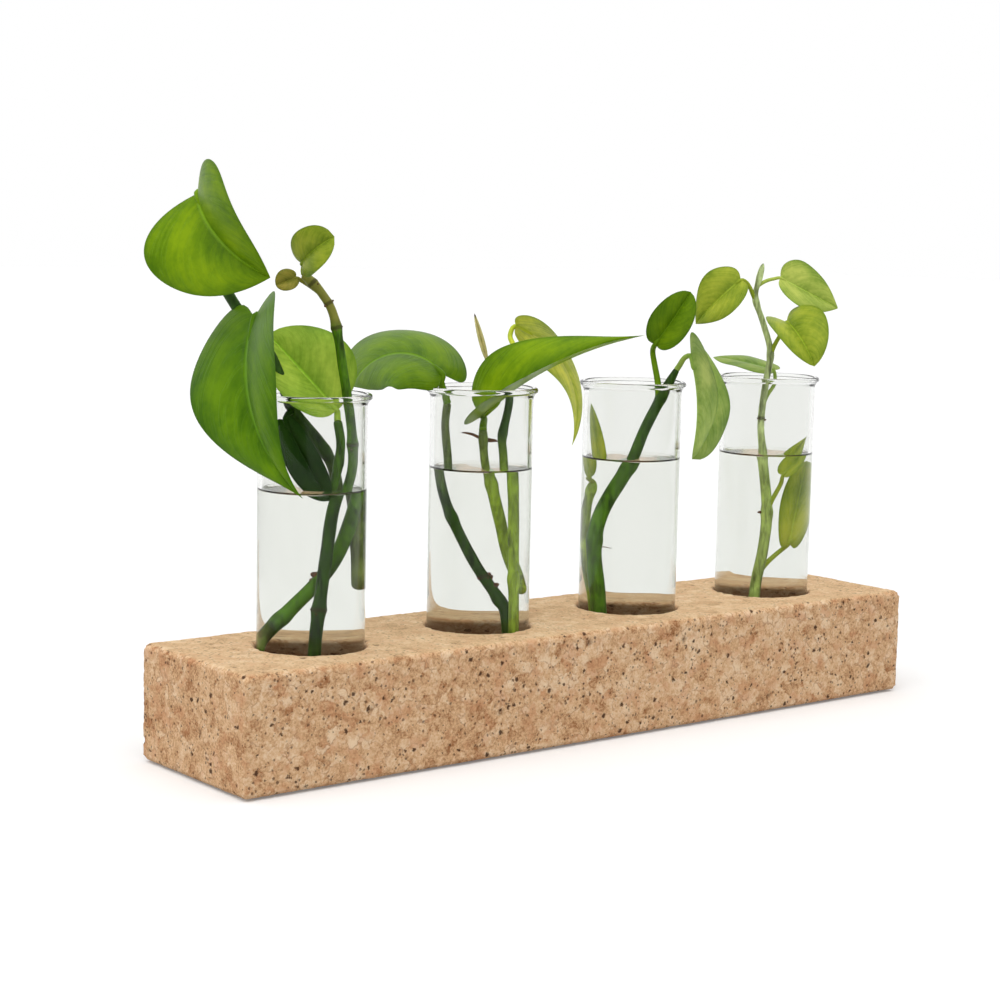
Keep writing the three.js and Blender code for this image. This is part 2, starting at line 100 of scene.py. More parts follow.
class Leaf(NamedTuple):
    """A leaf: its stem, how far along, stalk radius, place of its base and how the blade lies."""

    stem: str
    along: float
    stalk: float
    base: tuple
    heading: float
    rise: float
    roll: float
    length: float
    width: float
    droop: float
    folds: tuple
    lobe: float
    tip: float
    tone: str


class Root(NamedTuple):
    """A short water root: its stem and how far along, the way it points, its length and girth."""

    stem: str
    along: float
    heading: float
    rise: float
    length: float
    girth: float


def inside(share, bearing, depth):
    """A place in the tube: share of the free bore, bearing, share of the bore's depth."""
    return ("inside", share, bearing, depth)


def above(reach, bearing, height):
    """A place over the lip: millimetres out from the axis, bearing, millimetres over the lip."""
    return ("above", reach, bearing, height)


STEMS = {
    1: {
        "short_stem": Stem(
            (1.8, 1.5), (0.37, 0.86),
            (inside(0.28, -120, 0.98), inside(0.23, -104, 0.76), inside(0.21, -81, 0.65),
             inside(0.26, -38, 0.49), inside(0.37, -27, 0.35), inside(0.55, -31, 0.255),
             inside(0.67, -26, 0.16), inside(0.61, -18, 0.085)),
            ("dark", "green"), (0.37,),
        ),
        "leader_stem": Stem(
            (1.9, 1.4), (0.1, 0.57, 0.85, 0.97),
            (inside(0.97, 138, 0.79), inside(0.88, 130, 0.75), inside(0.51, 97, 0.655),
             inside(0.52, 39, 0.56), inside(0.66, 12, 0.465), inside(0.76, -16, 0.34),
             inside(0.94, -38, 0.23), inside(0.95, -46, 0.137), above(12, -52, -3),
             above(10.5, -55, 7), above(7.5, -61, 24.5), above(4, -85, 32.5), above(4, 178, 38.5)),
            ("green", "green"), (0.57, 0.85, 0.91, 0.97), 0.84,
        ),
        "vine_stem": Stem(
            (2.2, 1.7), (0.36, 0.72),
            (inside(0.97, 2, 0.6), inside(0.97, 6, 0.46), inside(0.97, 19, 0.265),
             inside(0.6, 35, 0.165), above(6.5, 125, -6.5), above(10, 153, 3), above(15, 157, 13.5),
             above(24, 151, 26), above(32.5, 147, 40), above(37.5, 145, 50)),
            # painted shade: the vine stem's head over the water is darker, for the shade on it; its
            # paler foot is its own colour
            ("grey", "dark"), (),
        ),
    },
    2: {
        "left_stem": Stem(
            (1.7, 1.4), (0.32, 0.62),
            (inside(0.64, -38, 0.98), inside(0.55, -38, 0.74), inside(0.37, -38, 0.67),
             inside(0.09, 142, 0.555), inside(0.58, 142, 0.395), inside(0.78, 142, 0.29),
             inside(0.83, 142, 0.22), inside(0.9, 142, 0.125), above(12, 142, -6)),
            ("dark", "grey"), (0.41,),
        ),
        "middle_stem": Stem(
            (1.6, 1.4), (0.68, 0.94),
            (inside(0.84, -30, 0.66), inside(0.67, 2, 0.55), inside(0.43, 2, 0.41),
             inside(0.23, -2, 0.3), inside(0.08, -38, 0.22), inside(0.15, -113, 0.137)),
            ("fresh", "grey"), (),
        ),
        "right_stem": Stem(
            (1.8, 1.4), (0.33, 0.74),
            (inside(0.88, -66, 0.98), inside(0.81, -59, 0.75), inside(0.71, -50, 0.55),
             inside(0.64, -38, 0.36), inside(0.58, -25, 0.22), inside(0.57, -17, 0.16),
             inside(0.77, -11, 0.06), above(12, -5, 3), above(22, 12, 7)),
            ("fresh", "dark"), (),
        ),
    },
    3: {
        "thick_stem": Stem(
            (2.7, 1.8), (0.41, 0.66, 0.9),
            (inside(0.62, 160, 0.975), inside(0.67, 154, 0.75), inside(0.73, 142, 0.625),
             inside(0.75, 142, 0.525), inside(0.57, 142, 0.43), inside(0.17, 142, 0.32),
             inside(0.08, -38, 0.255), inside(0.38, -38, 0.16), above(11, -38, -5),
             above(16, -38, 4.6)),
            ("green", "dark"), (), 1.0, 0.0, 10.0,
        ),
        "pale_shoot": Stem(
            (1.1, 0.9), (0.96,),
            (inside(0.67, 92, 0.97), inside(0.75, 96, 0.76), inside(0.83, 102, 0.62),
             inside(0.85, 102, 0.455), inside(0.77, 100, 0.35)),
            ("fresh", "fresh"), (),
        ),
    },
    4: {
        "leader_stem": Stem(
            (1.9, 1.0), (0.36, 0.51, 0.76, 0.9),
            (inside(0.32, -172, 0.98), inside(0.2, -172, 0.75), inside(0.07, -118, 0.61),
             inside(0.07, -38, 0.47), inside(0.06, 142, 0.29), inside(0.16, 142, 0.173),
             inside(0.08, 142, 0.04), above(0.5, -38, 8.5), above(2.5, 142, 19.5),
             above(6, 142, 29.5), above(5, 142, 36.5), above(3.5, 142, 43)),
            ("soft", "pale"), (0.6,), 1.0, 9.0,
        ),
    },
}

LEAVES = {
    1: {
        "top_leaf": Leaf("vine_stem", 1, 1.5, above(38.7, 163, 63.7),
                        -112, -47, -80, 40, 50, 65, (12, 35), 0.01, 1.01, "bright"),
        "hanging_leaf": Leaf("vine_stem", 0.73, 1.4, above(24, -175, 25),
                            -154, -59, -61, 66, 53, 60, (-20, 42), 0.11, 1.53, "green"),
        "mouth_leaf": Leaf("short_stem", 1, 1.2, above(8.5, -10, -5.8),
                          146, 48, 82, 34, 34, 20, (50, 0), 0, 0.62, "yellow"),
        "shaded_leaf": Leaf("vine_stem", 0.5, 1.1, inside(0.6, 172, 0.08),
                           -30, -65, -114, 30, 13, 15, (15, 20), 0.08, 0.5, "deep"),
        "young_leaf": Leaf("leader_stem", 1, 0.9, above(6, -165, 42),
                          -107, 28, -98, 19, 16, 39, (29, 10), 0.07, 0.5, "olive"),
        "leaf_bud": Leaf("leader_stem", 0.93, 0.9, above(6.1, 161, 37.3),
                        163, -16, 67, 7, 8, 25, (20, 20), 0.1, 0.6, "brown"),
    },
    2: {
        "arched_leaf": Leaf("left_stem", 1, 1.4, above(14, 146, 4),
                           129, 51, -12, 38, 56, 122, (-30, 25), 0.18, 0.42, "mid"),
        "long_leaf": Leaf("middle_stem", 1, 1.4, above(7, 49, -10.8),
                         -80, 40, -80, 67, 36, 66, (0, 66), 0.04, 1.75, "bright"),
        "drooping_leaf": Leaf("right_stem", 1, 1.1, above(32.6, 31, 19.7),
                             -51, -16, 14, 54, 27, 92, (-27, 18), 0.02, 1.21, "gold"),
        "rolled_leaf": Leaf("right_stem", 0.86, 1.0, above(14, 46, 8.3),
                           159, 73, 107, 17, 3.4, 10, (50, 50), 0, 0.7, "pale"),
    },
    3: {
        "upright_leaf": Leaf("thick_stem", 0.88, 1.3, above(7.8, -38, 13.6),
                            -63, 54, -119, 23, 16, 18, (6, 36), 0.04, 0.6, "mid"),
        "side_leaf": Leaf("thick_stem", 1, 1.1, above(21, -50, 9.5),
                         -94, -61, 43, 39, 34, 32, (30, 32), 0.22, 0.6, "grey"),
        "shoot_leaf": Leaf("pale_shoot", 1, 0.8, inside(0.7, 118, 0.33),
                          165, 80, 99, 28, 6, 14, (22, 14), 0, 0.8, "olive"),
    },
    4: {
        "left_leaf": Leaf("leader_stem", 0.9, 0.9, above(12.5, 155, 36.5),
                         133, -39, 58, 25, 22, 25, (14, 13), 0.07, 0.97, "olive"),
        "right_leaf": Leaf("leader_stem", 0.94, 0.8, above(4, -9, 37.5),
                          -19, -24, -62, 28, 22, 1, (14, 15), 0.05, 0.96, "lime"),
        "lower_leaf": Leaf("leader_stem", 0.76, 0.9, above(8, -85, 21),
                          -110, -15, -15, 26, 25, 49, (30, 28), 0.21, 0.74, "olive"),
        "lip_leaf": Leaf("leader_stem", 0.63, 0.9, above(9.5, 33, 1.5),
                        114, 14, 15, 26, 20, 11, (6, -5), 0.07, 0.83, "grey"),
        "neck_leaf": Leaf("leader_stem", 0.36, 0.8, inside(0.38, -70, 0.345),
                         -30, 52, -50, 18, 8, -15, (13, 15), 0.04, 1.2, "olive"),
        "water_leaf": Leaf("leader_stem", 0.2, 0.9, inside(0.5, -20, 0.59),
                          -30, 83, -93, 32, 10, 12, (14, 14), 0.1, 0.6, "olive"),
    },
}

ROOTS = {
    1: (Root("leader_stem", 0.22, 150, 40, 1.1, 1.5), Root("leader_stem", 0.2, 130, 70, 0.8, 1.2),
        Root("vine_stem", 0.47, 150, 10, 2.6, 0.5), Root("short_stem", 0.37, 160, 5, 0.6, 0.8)),
    2: (Root("middle_stem", 0.945, 150, 28, 7, 0.6), Root("middle_stem", 0.94, -35, 5, 3.4, 0.9),
        Root("left_stem", 0.4, -20, 60, 1.2, 1.1), Root("left_stem", 0.37, -50, 30, 1.0, 1.2),
        Root("left_stem", 0.38, -35, 75, 2.2, 0.6)),
    3: (Root("thick_stem", 0.39, -40, 5, 2.6, 0.22),),
    4: (Root("leader_stem", 0.36, 150, 5, 1.0, 0.8),),
}

# Finishes: patterns as repeats to the metre, reaches in metres

MIDDLE = 0.5
COARSE_RELIEF = 0.0006
FINE_RELIEF = 0.0003
CORK_SCALE = {"push": 520, "crumb": 1300, "area": 45, "red": 130, "patch": 190, "smear": 420}
CORK_PUSH = 0.0034
CORK_MIDDLE = 0.54
CLOUD_GRANULES = 0.8
SEAM_WIDTH = 0.1
SPECK_RAGGED = 3.1
SPECK_PUSH = 0.55
SPECK_CROWDS = 70
SPECK_CROWDING = 1.6
SPECK_CORE = 0.55
FINE_SPECKS = (640, (0.14, 0.46), 0.42)
COARSE_SPECKS = (330, (0.12, 0.38), 0.34)
FINE_SHOWS = 0.75
TOP_CLEANED = 0.35
LEAF_BLOTCH = 85
LEAF_GRAIN = 700
VEINS = 17
VEIN_ARCH = 0.5
VEIN_LINE = 0.035
RIB_EDGES = (0.012, 0.05)
MARGIN_EDGES = (0.88, 0.99)
TIP_EDGES = (0.88, 0.97)
DEEP_GAINS = (0.5, 0.62, 0.45)
FRESH_GAINS = (1.65, 1.4, 1.8)
PALE_GAIN = 1.9
UNDER_GAINS = (1.2, 1.15, 1.3)
STEM_STRETCH = (1, 1, 0.18)
STEM_STREAK = 900
STEM_BLOTCH = 120
STEM_PATCH = 300
ROOT_GRAIN = 1500
ROOT_PALE = 3.2

# Nodes of a material and of a geometry tree


class Sock:
    """One output socket. Python's operators on it add Math nodes to its tree."""

    def __init__(self, nodes, socket):
        self.nodes = nodes
        self.socket = socket

    def other(self, output):
        """Another output of the same node."""
        return Sock(self.nodes, find_socket(self.socket.node.outputs, output))

    def __add__(self, value):
        return self.nodes.maths("ADD", self, value)

    def __radd__(self, value):
        return self.nodes.maths("ADD", value, self)

    def __sub__(self, value):
        return self.nodes.maths("SUBTRACT", self, value)

    def __rsub__(self, value):
        return self.nodes.maths("SUBTRACT", value, self)

    def __mul__(self, value):
        return self.nodes.maths("MULTIPLY", self, value)

    def __rmul__(self, value):
        return self.nodes.maths("MULTIPLY", value, self)

    def __truediv__(self, value):
        return self.nodes.maths("DIVIDE", self, value)

    def __pow__(self, value):
        return self.nodes.maths("POWER", self, value)

    def __abs__(self):
        return self.nodes.maths("ABSOLUTE", self)


def find_socket(sockets, key):
    """A socket by its number, its identifier or its name."""
    if isinstance(key, int):
        return sockets[key]
    for socket in sockets:
        if socket.identifier == key:
            return socket
    return sockets[key]


class Nodes:
    """Adds nodes to one tree, with their settings first and then their links and values."""

    def __init__(self, tree):
        self.tree = tree

    def node(self, kind, settings=None, inputs=None, output=0):
        made = self.tree.nodes.new(kind)
        for key, value in (settings or {}).items():
            if key == "stops":
                self.set_stops(made.color_ramp, value)
            else:
                setattr(made, key, value)
        for key, value in (inputs or {}).items():
            socket = find_socket(made.inputs, key)
            if isinstance(value, Sock):
                self.tree.links.new(value.socket, socket)
            elif socket.type == "RGBA":
                socket.default_value = (*value, 1)
            else:
                socket.default_value = value
        return Sock(self, find_socket(made.outputs, output)) if made.outputs else made

    @staticmethod
    def set_stops(ramp, stops):
        while len(ramp.elements) < len(stops):
            ramp.elements.new(1)
        for element, (place, colour) in zip(ramp.elements, stops):
            element.position = place
            element.color = (*colour, 1)

    def maths(self, operation, *values):
        return self.node("ShaderNodeMath", {"operation": operation}, dict(enumerate(values)))

    def mix(self, factor, first, second):
        inputs = {"Factor_Float": factor, "A_Color": first, "B_Color": second}
        return self.node("ShaderNodeMix", {"data_type": "RGBA"}, inputs, "Result_Color")

    def step(self, value, low, high):
        """0 below low and 1 above high, with a smooth rise between them."""
        return self.node(
            "ShaderNodeMapRange",
            {"interpolation_type": "SMOOTHSTEP"},
            {"Value": value, "From Min": low, "From Max": high},
        )

    def noise(self, vector, scale, detail=2.0, roughness=0.5):
        inputs = {"Vector": vector, "Scale": scale, "Detail": detail, "Roughness": roughness}
        return self.node("ShaderNodeTexNoise", None, inputs)

    def cells(self, vector, scale, feature="F1"):
        inputs = {"Vector": vector, "Scale": scale}
        return self.node("ShaderNodeTexVoronoi", {"feature": feature}, inputs)

    def channel(self, colour, name):
        return self.node("ShaderNodeSeparateColor", None, {"Color": colour}, name)

    def attribute(self, name):
        return self.node("ShaderNodeAttribute", {"attribute_name": name}, None, "Fac")

    def bump(self, height, strength, distance):
        inputs = {"Height": height, "Strength": strength, "Distance": distance}
        return self.node("ShaderNodeBump", None, inputs)

    def vector(self, operation, inputs, output=0):
        return self.node("ShaderNodeVectorMath", {"operation": operation}, inputs, output)

    def ramp(self, value, *colours):
        """Colours in even steps, chosen by a value from 0 to 1."""
        last = len(colours) - 1
        stops = [(index / last, colour) for index, colour in enumerate(colours)]
        return self.node("ShaderNodeValToRGB", {"stops": stops}, {"Fac": value})


def new_material(name):
    """A material with an empty tree, its nodes, and Object coordinates."""
    material = bpy.data.materials.new(name)
    material.use_nodes = True
    material.node_tree.nodes.clear()
    nodes = Nodes(material.node_tree)
    return material, nodes, nodes.node("ShaderNodeTexCoord", None, None, "Object")


def finish_surface(nodes, inputs):
    """One Principled surface with the given sockets, linked to the material's output."""
    surface = nodes.node("ShaderNodeBsdfPrincipled", None, inputs)
    nodes.node("ShaderNodeOutputMaterial", None, {"Surface": surface})


def shifted(nodes, vector, offset_colour, reach):
    """Coordinates pushed about by a colour noise, up to a reach in metres."""
    centred = nodes.vector("SUBTRACT", {0: offset_colour, 1: (MIDDLE, MIDDLE, MIDDLE)})
    scaled = nodes.vector("SCALE", {0: centred, "Scale": reach})
    return nodes.vector("ADD", {0: vector, 1: scaled})


def swing(pattern, reach):
    """How far a pattern pushes a value up or down from its middle."""
    return (pattern - MIDDLE) * reach


def toned(colour, *gains):
    """A colour with its parts made stronger or weaker."""
    return tuple(min(1.0, part * gain) for part, gain in zip(colour, gains))


def bark_specks(nodes, place, scale, sizes, share):
    """A mask of small ragged specks in crowds, for a scale, a range of sizes and a share shown."""
    push = nodes.noise(place, SPECK_RAGGED * scale, 2).other("Color")
    cell = nodes.cells(shifted(nodes, place, push, SPECK_PUSH / scale), scale)
    rank = nodes.channel(cell.other("Color"), "Red")
    radius = sizes[0] + (sizes[1] - sizes[0]) * nodes.channel(cell.other("Color"), "Blue")
    crowd = nodes.noise(place, SPECK_CROWDS, 2)
    shows = nodes.step(rank + swing(crowd, SPECK_CROWDING), 1 - share, 1.02 - share)
    return (1 - nodes.step(cell / radius, SPECK_CORE, 1.0)) * shows


def cork_material(settings):
    """Pressed cork: granules of several tones, a fine crumb, reddish patches and specks of bark."""
    material, nodes, place = new_material("pressed_cork")
    push = nodes.noise(place, CORK_SCALE["push"], 3).other("Color")
    ragged = shifted(nodes, place, push, CORK_PUSH)
    granule = nodes.cells(ragged, 1 / settings.granule)
    granule_tone = nodes.channel(granule.other("Color"), "Red")
    granule_hue = nodes.channel(granule.other("Color"), "Green")
    cloud = nodes.noise(ragged, CLOUD_GRANULES / settings.granule, 4, 0.6)
    crumb = nodes.noise(place, CORK_SCALE["crumb"], 3, 0.7)
    area = nodes.noise(place, CORK_SCALE["area"], 2)
    tone = CORK_MIDDLE + swing(granule_tone, 0.4) + swing(cloud, 1.9)
    tone = tone + swing(crumb, 1.7) + swing(area, 0.7)
    dark, bark = settings.dark[:], settings.bark[:]
    colour = nodes.ramp(tone, dark, settings.mid[:], settings.light[:])
    red = nodes.noise(place, CORK_SCALE["red"], 3, 0.6)
    redness = nodes.step(red + swing(granule_hue, 0.18), 0.5, 0.68)
    edge = nodes.cells(ragged, 1 / settings.granule, "DISTANCE_TO_EDGE")
    seam = 1 - nodes.step(edge, 0.0, SEAM_WIDTH)
    patchy = nodes.step(nodes.noise(place, CORK_SCALE["patch"], 2), 0.46, 0.64)
    smear = nodes.step(nodes.noise(ragged, CORK_SCALE["smear"], 4, 0.7), 0.58, 0.72)
    top = nodes.attribute("top")
    fine = bark_specks(nodes, place, *FINE_SPECKS)
    coarse = bark_specks(nodes, place, *COARSE_SPECKS)
    specks = nodes.maths("MAXIMUM", fine * FINE_SHOWS, coarse) * (1 - top * TOP_CLEANED)
    layers = (
        (redness * 0.5, settings.blush[:]),
        (seam * patchy * 0.6, dark),
        (smear * 0.5, dark),
        # painted light: faces that point up are made paler, for the light from above
        (top * 0.42, settings.painted_light[:]),
        (specks * 0.9, bark),
        # painted shade: the cork of the socket walls and floors is darkened, more so deeper down
        (nodes.attribute("socket") * 0.7, settings.socket_shade[:]),
        (nodes.attribute("pit") * 0.8, bark),
    )
    for shows, layer in layers:
        colour = nodes.mix(shows, colour, layer)
    height = cloud * 0.5 + crumb * 0.45 - specks * 0.9 - seam * 0.25
    finish_surface(
        nodes,
        {
            "Base Color": colour,
            "Roughness": 0.78 + 0.16 * cloud,
            "Specular IOR Level": 0.2,
            "Normal": nodes.bump(height, 0.5, COARSE_RELIEF),
        },
    )
    return material


def clear_material(name, settings):
    """A clear, smooth material with a slight tint all over."""
    material, nodes, _ = new_material(name)
    finish_surface(
        nodes,
        {
            "Base Color": settings.tint[:],
            "Roughness": 0.0,
            "IOR": settings.ior,
            "Transmission Weight": 1.0,
            "Specular Tint": (settings.gleam, settings.gleam, settings.gleam),
        },
    )
    return material


def underside(upper):
    """The paler colour of a leaf's back."""
    return tuple(min(1.0, part * gain + 0.005) for part, gain in zip(upper, UNDER_GAINS))


def leaf_side(nodes, tone, light, rib, margin):
    """Colour of one side of a leaf, from deep to fresh, with a pale rib and a dark margin that is
    partly painted shade.
    """
    deep = toned(tone, *DEEP_GAINS)
    pale = tuple(min(1.0, part * PALE_GAIN + 0.02) for part in tone)
    side = nodes.ramp(light, deep, tone, toned(tone, *FRESH_GAINS))
    return nodes.mix(margin * 0.6, nodes.mix(rib * 0.5, side, pale), deep)


def leaf_material(name, upper, under, tip):
    """A waxy leaf: arching veins, pale midrib, a middle made yellower and paler as painted light, a
    dark margin that is partly its own edge and partly painted shade, and paler underside.
    """
    material, nodes, place = new_material(name)
    uv = nodes.node("ShaderNodeUVMap", {"uv_map": "UVMap"})
    place_on_blade = nodes.node("ShaderNodeSeparateXYZ", None, {"Vector": uv}, "X")
    across = place_on_blade * 2 - 1
    along = place_on_blade.other("Y")
    outward = abs(across)
    blotch = nodes.noise(place, LEAF_BLOTCH, 3, 0.55)
    grain = nodes.noise(place, LEAF_GRAIN, 2, 0.6)
    run = along - VEIN_ARCH * outward**1.3
    vein_inputs = {"X": run * VEINS, "Y": across * 1.6, "Z": along * 1.2}
    vein = nodes.noise(nodes.node("ShaderNodeCombineXYZ", None, vein_inputs), 1.0, 2, 0.55)
    line = 1 - nodes.step(abs(vein - MIDDLE), 0.0, VEIN_LINE)
    # painted light: middle is a yellower, paler band down each half of the blade, for the light on
    # its curve; light adds it to random tone from veins, blotches and grain
    middle = nodes.step(outward, 0.0, 0.4) * (1 - nodes.step(outward, 0.45, 1.0))
    light = 0.4 + middle * 0.25 + swing(vein, 0.8) + swing(blotch, 1.7) + swing(grain, 0.4)
    rib = nodes.maths("MAXIMUM", 1 - nodes.step(outward, *RIB_EDGES), line * 0.22)
    # the dark margin is partly the leaf's own dark edge and partly painted shade where the blade
    # curves away
    margin = nodes.step(outward, *MARGIN_EDGES)
    face = leaf_side(nodes, upper, light, rib, margin)
    back = leaf_side(nodes, under, light, rib, margin)
    colour = nodes.mix(nodes.attribute("upper"), back, face)
    colour = nodes.mix(nodes.step(along, *TIP_EDGES), colour, tip)
    height = rib * -0.8 - vein * 0.6 + blotch * 0.6
    finish_surface(
        nodes,
        {
            "Base Color": colour,
            "Roughness": 0.3 + 0.2 * blotch,
            "Specular IOR Level": 0.1,
            "Normal": nodes.bump(height, 0.45, COARSE_RELIEF),
        },
    )
    return material


def stem_material(name, foot, head, settings):
    """A fleshy stem of two tones: lengthwise streaks, dark patches, scars and a dry part."""
    material, nodes, place = new_material(name)
    stretch = nodes.node("ShaderNodeMapping", None, {"Vector": place, "Scale": STEM_STRETCH})
    streak = nodes.noise(stretch, STEM_STREAK, 2, 0.6)
    blotch = nodes.noise(place, STEM_BLOTCH, 3, 0.6)
    patch = nodes.noise(stretch, STEM_PATCH, 3, 0.6)
    tone = nodes.mix(nodes.attribute("lift"), foot, head)
    shade = 0.45 + 0.65 * nodes.step(streak, 0.25, 0.75) + 0.5 * nodes.step(blotch, 0.45, 0.75)
    shade = shade * (1 - 0.6 * nodes.step(patch, 0.52, 0.66))
    colour = nodes.vector("SCALE", {0: tone, "Scale": shade})
    colour = nodes.mix(nodes.attribute("dry") * 0.75, colour, settings.dry[:])
    scarred = nodes.step(nodes.attribute("mark") * (0.5 + streak), 0.35, 0.85)
    colour = nodes.mix(scarred * 0.7, colour, settings.scar[:])
    finish_surface(
        nodes,
        {
            "Base Color": colour,
            "Roughness": 0.38 + 0.2 * blotch,
            "Specular IOR Level": 0.22,
            "Normal": nodes.bump(streak * 0.6 + blotch * 0.5, 0.3, FINE_RELIEF),
        },
    )
    return material


def root_material(settings):
    """Water roots and scars: dark brown, flecked with paler bark."""
    material, nodes, place = new_material("water_root")
    grain = nodes.noise(place, ROOT_GRAIN, 3, 0.6)
    pale = toned(settings.root, ROOT_PALE, ROOT_PALE, ROOT_PALE)
    colour = nodes.mix(nodes.step(grain, 0.4, 0.8), settings.root[:], pale)
    finish_surface(
        nodes,
        {
            "Base Color": colour,
            "Roughness": 0.55 + 0.25 * grain,
            "Normal": nodes.bump(grain, 0.5, FINE_RELIEF),
        },
    )
    return material


# Shapes: wear of the cork, unevenness of the plants, in millimetres and shares

GRANULE_SINK = 0.05
GRANULE_UNEVEN = 0.09
SEAM_SINK = 0.1
CRUMBLE_SCALE = 0.55
PIT_SPACING = 8.5
PIT_SHIFT = Vector((3.1, 7.7, 1.9))
PIT_SIZES = (0.05, 0.07)
PIT_FADE = 1.6
PIT_RARITY = 0.1
RANK_DRAW = 7.3
PIT_SIZE_DRAW = 5.1
PIT_DRAW = 3.7
SOCKET_EDGE = 0.9
SOCKET_FADE = 1.5
FLAT_FOOT = 0.4
FOOT_SQUEEZE = 0.1
TOP_FROM = 0.75
TOP_RISE = 0.2
FLARE_CURVE = 2.2
FLARE_STEPS = 9
INNER_FLARE = 0.8
MENISCUS_CURVE = 2.6
MENISCUS_STEPS = 12
END_STEPS = (0.0, 0.06, 0.2, 0.45, 0.8, 1.2, 1.7)
END_LENGTH = 2.2
NODE_SWELL = 0.65
SCAR_SWELL = 0.3
SCAR_LENGTH = 0.6
MARK_LENGTH = 0.9
UNEVEN = 0.06
UNEVEN_SCALE = 0.13
FOOT_BLUNT = 0.25
HEAD_BLUNT = 0.72
MERGE_LOSS = 0.4
DRY_RISE = 30
FAR_OFF = 100
ROOT_STEPS = 14
ROOT_DROP = 0.25
ROOT_WANDER = 0.22
ROOT_WANDER_SCALE = 0.6
ROOT_SEED = 5
NUB_TURN = 2.4
NUB_SHIFT = 1.7
NUB_SPREAD = 1.6
NUB_LIFT = 0.1
NUB_GIRTH = 0.3
NUB_EDGE = 80
RIPPLES = 7.5
RIPPLE_SHIFT = 1.9
GROOVE_WIDTH = 0.9
ROW_CROWDING = 1.5
THIN_ENDS = 10
STALK_ROUNDED = 0.85
STALK_UV = (0.62, 0.3)
LEAF_EDGE = 60


class Path:
    """A smooth curve through points, measured along its own length."""

    FINE = 24
    NEAR = 0.01

    def __init__(self, points):
        points = np.asarray(points, float)
        ghosts = [2 * points[0] - points[1], *points, 2 * points[-1] - points[-2]]
        shares = np.arange(self.FINE)[:, None] / self.FINE
        runs = []
        for before, start, end, after in zip(ghosts, ghosts[1:], ghosts[2:], ghosts[3:]):
            bend = 2 * before - 5 * start + 4 * end - after
            twist = 3 * start - before - 3 * end + after
            moved = (end - before) * shares + bend * shares**2 + twist * shares**3
            runs.append(start + 0.5 * moved)
        self.samples = np.vstack([*runs, points[-1:]])
        steps = np.linalg.norm(np.diff(self.samples, axis=0), axis=1)
        self.marks = np.concatenate([[0], np.cumsum(steps)])
        self.length = self.marks[-1]

    def at(self, shares):
        lengths = np.atleast_1d(shares) * self.length
        columns = [np.interp(lengths, self.marks, column) for column in self.samples.T]
        return np.stack(columns, axis=1)

    def tangent(self, share):
        ends = self.at([max(share - self.NEAR, 0), min(share + self.NEAR, 1)])
        return unit(ends[1] - ends[0])


def unit(vector):
    return vector / np.linalg.norm(vector)


def direction(heading, rise):
    heading, rise = math.radians(heading), math.radians(rise)
    level = math.cos(rise)
    return np.array([math.cos(heading) * level, math.sin(heading) * level, math.sin(rise)])


class Tube(NamedTuple):
    """Where a tube stands and how large it is, in millimetres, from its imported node."""

    x: float
    y: float
    bottom: float
    rim: float
    lip_radius: float


@functools.cache
def tube_frame(number):
    low, high = (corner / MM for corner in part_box(f"glass_tube_{number}"))
    return Tube((low.x + high.x) / 2, (low.y + high.y) / 2, low.z, high.z, (high.x - low.x) / 2)


def bore_radius(number):
    glass = bpy.context.scene.planter_glass
    return tube_frame(number).lip_radius - (glass.lip_flare + glass.wall) / MM


def spot(number, place, girth):
    """A place of a cutting, in millimetres from the centre of its tube's lip."""
    kind, reach, bearing, height = place
    if kind == "inside":
        glass = bpy.context.scene.planter_glass
        tube = tube_frame(number)
        reach *= bore_radius(number) - girth - bpy.context.scene.planter_stems.glass_gap / MM
        height *= -(tube.rim - tube.bottom - glass.floor / MM)
    return np.array([*(reach * direction(bearing, 0))[:2], height])


def in_row_frame(number, points):
    """Points from millimetres round a tube's lip to metres in the row frame."""
    tube = tube_frame(number)
    return (np.asarray(points, float) + (tube.x, tube.y, tube.rim)) * MM


@functools.cache
def stem_path(number, name):
    stem = STEMS[number][name]
    girth = stem.radius[0] + bpy.context.scene.planter_stems.node_swell / MM
    return Path([spot(number, place, girth) for place in stem.route])


def link_mesh(name, mesh, material):
    obj = bpy.data.objects.new(name, mesh)
    bpy.context.scene.collection.objects.link(obj)
    mesh.materials.clear()
    mesh.materials.append(material)
    return obj


def soften(mesh, degrees):
    """Smooth shading, with edges sharper than an angle kept crisp."""
    mesh.shade_smooth()
    mesh.set_sharp_from_angle(angle=math.radians(degrees))


def settle(obj, body, slot, *nodes):
    """The finished piece rides on its body and stands for its nodes; its slot argument is not used.
    """
    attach(obj, body)
    if nodes:
        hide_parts(*nodes)


def evaluated_mesh(obj):
    """What an object's modifiers make, as a plain mesh."""
    graph = bpy.context.evaluated_depsgraph_get()
    return bpy.data.meshes.new_from_object(obj.evaluated_get(graph))


def arc(centre, radius, start, end, steps):
    """Points of a profile's round edge, as radius and height, between two angles in degrees."""
    angles = np.radians(np.linspace(start, end, steps + 1))
    return [(centre[0] + radius * math.cos(a), centre[1] + radius * math.sin(a)) for a in angles]


def lathe(name, profile, segments, centre):
    """A profile of radius and height in millimetres, turned round a tube's axis."""
    builder = bmesh.new()
    rings = []
    for radius, height in profile:
        ring = []
        for index in range(segments if radius > CLOSE else 1):
            turn = 2 * math.pi * index / segments
            offset = Vector((radius * math.cos(turn), radius * math.sin(turn), height))
            ring.append(builder.verts.new((offset + Vector(centre)) * MM))
        rings.append(ring)
    for lower, upper in zip(rings, rings[1:]):
        for index in range(segments):
            after = (index + 1) % segments
            corners = [lower[index % len(lower)], lower[after % len(lower)],
                       upper[after % len(upper)], upper[index % len(upper)]]
            corners = list(dict.fromkeys(corners))
            if len(corners) > 2:
                builder.faces.new(corners)
    bmesh.ops.recalc_face_normals(builder, faces=builder.faces)
    mesh = bpy.data.meshes.new(name)
    builder.to_mesh(mesh)
    builder.free()
    return mesh


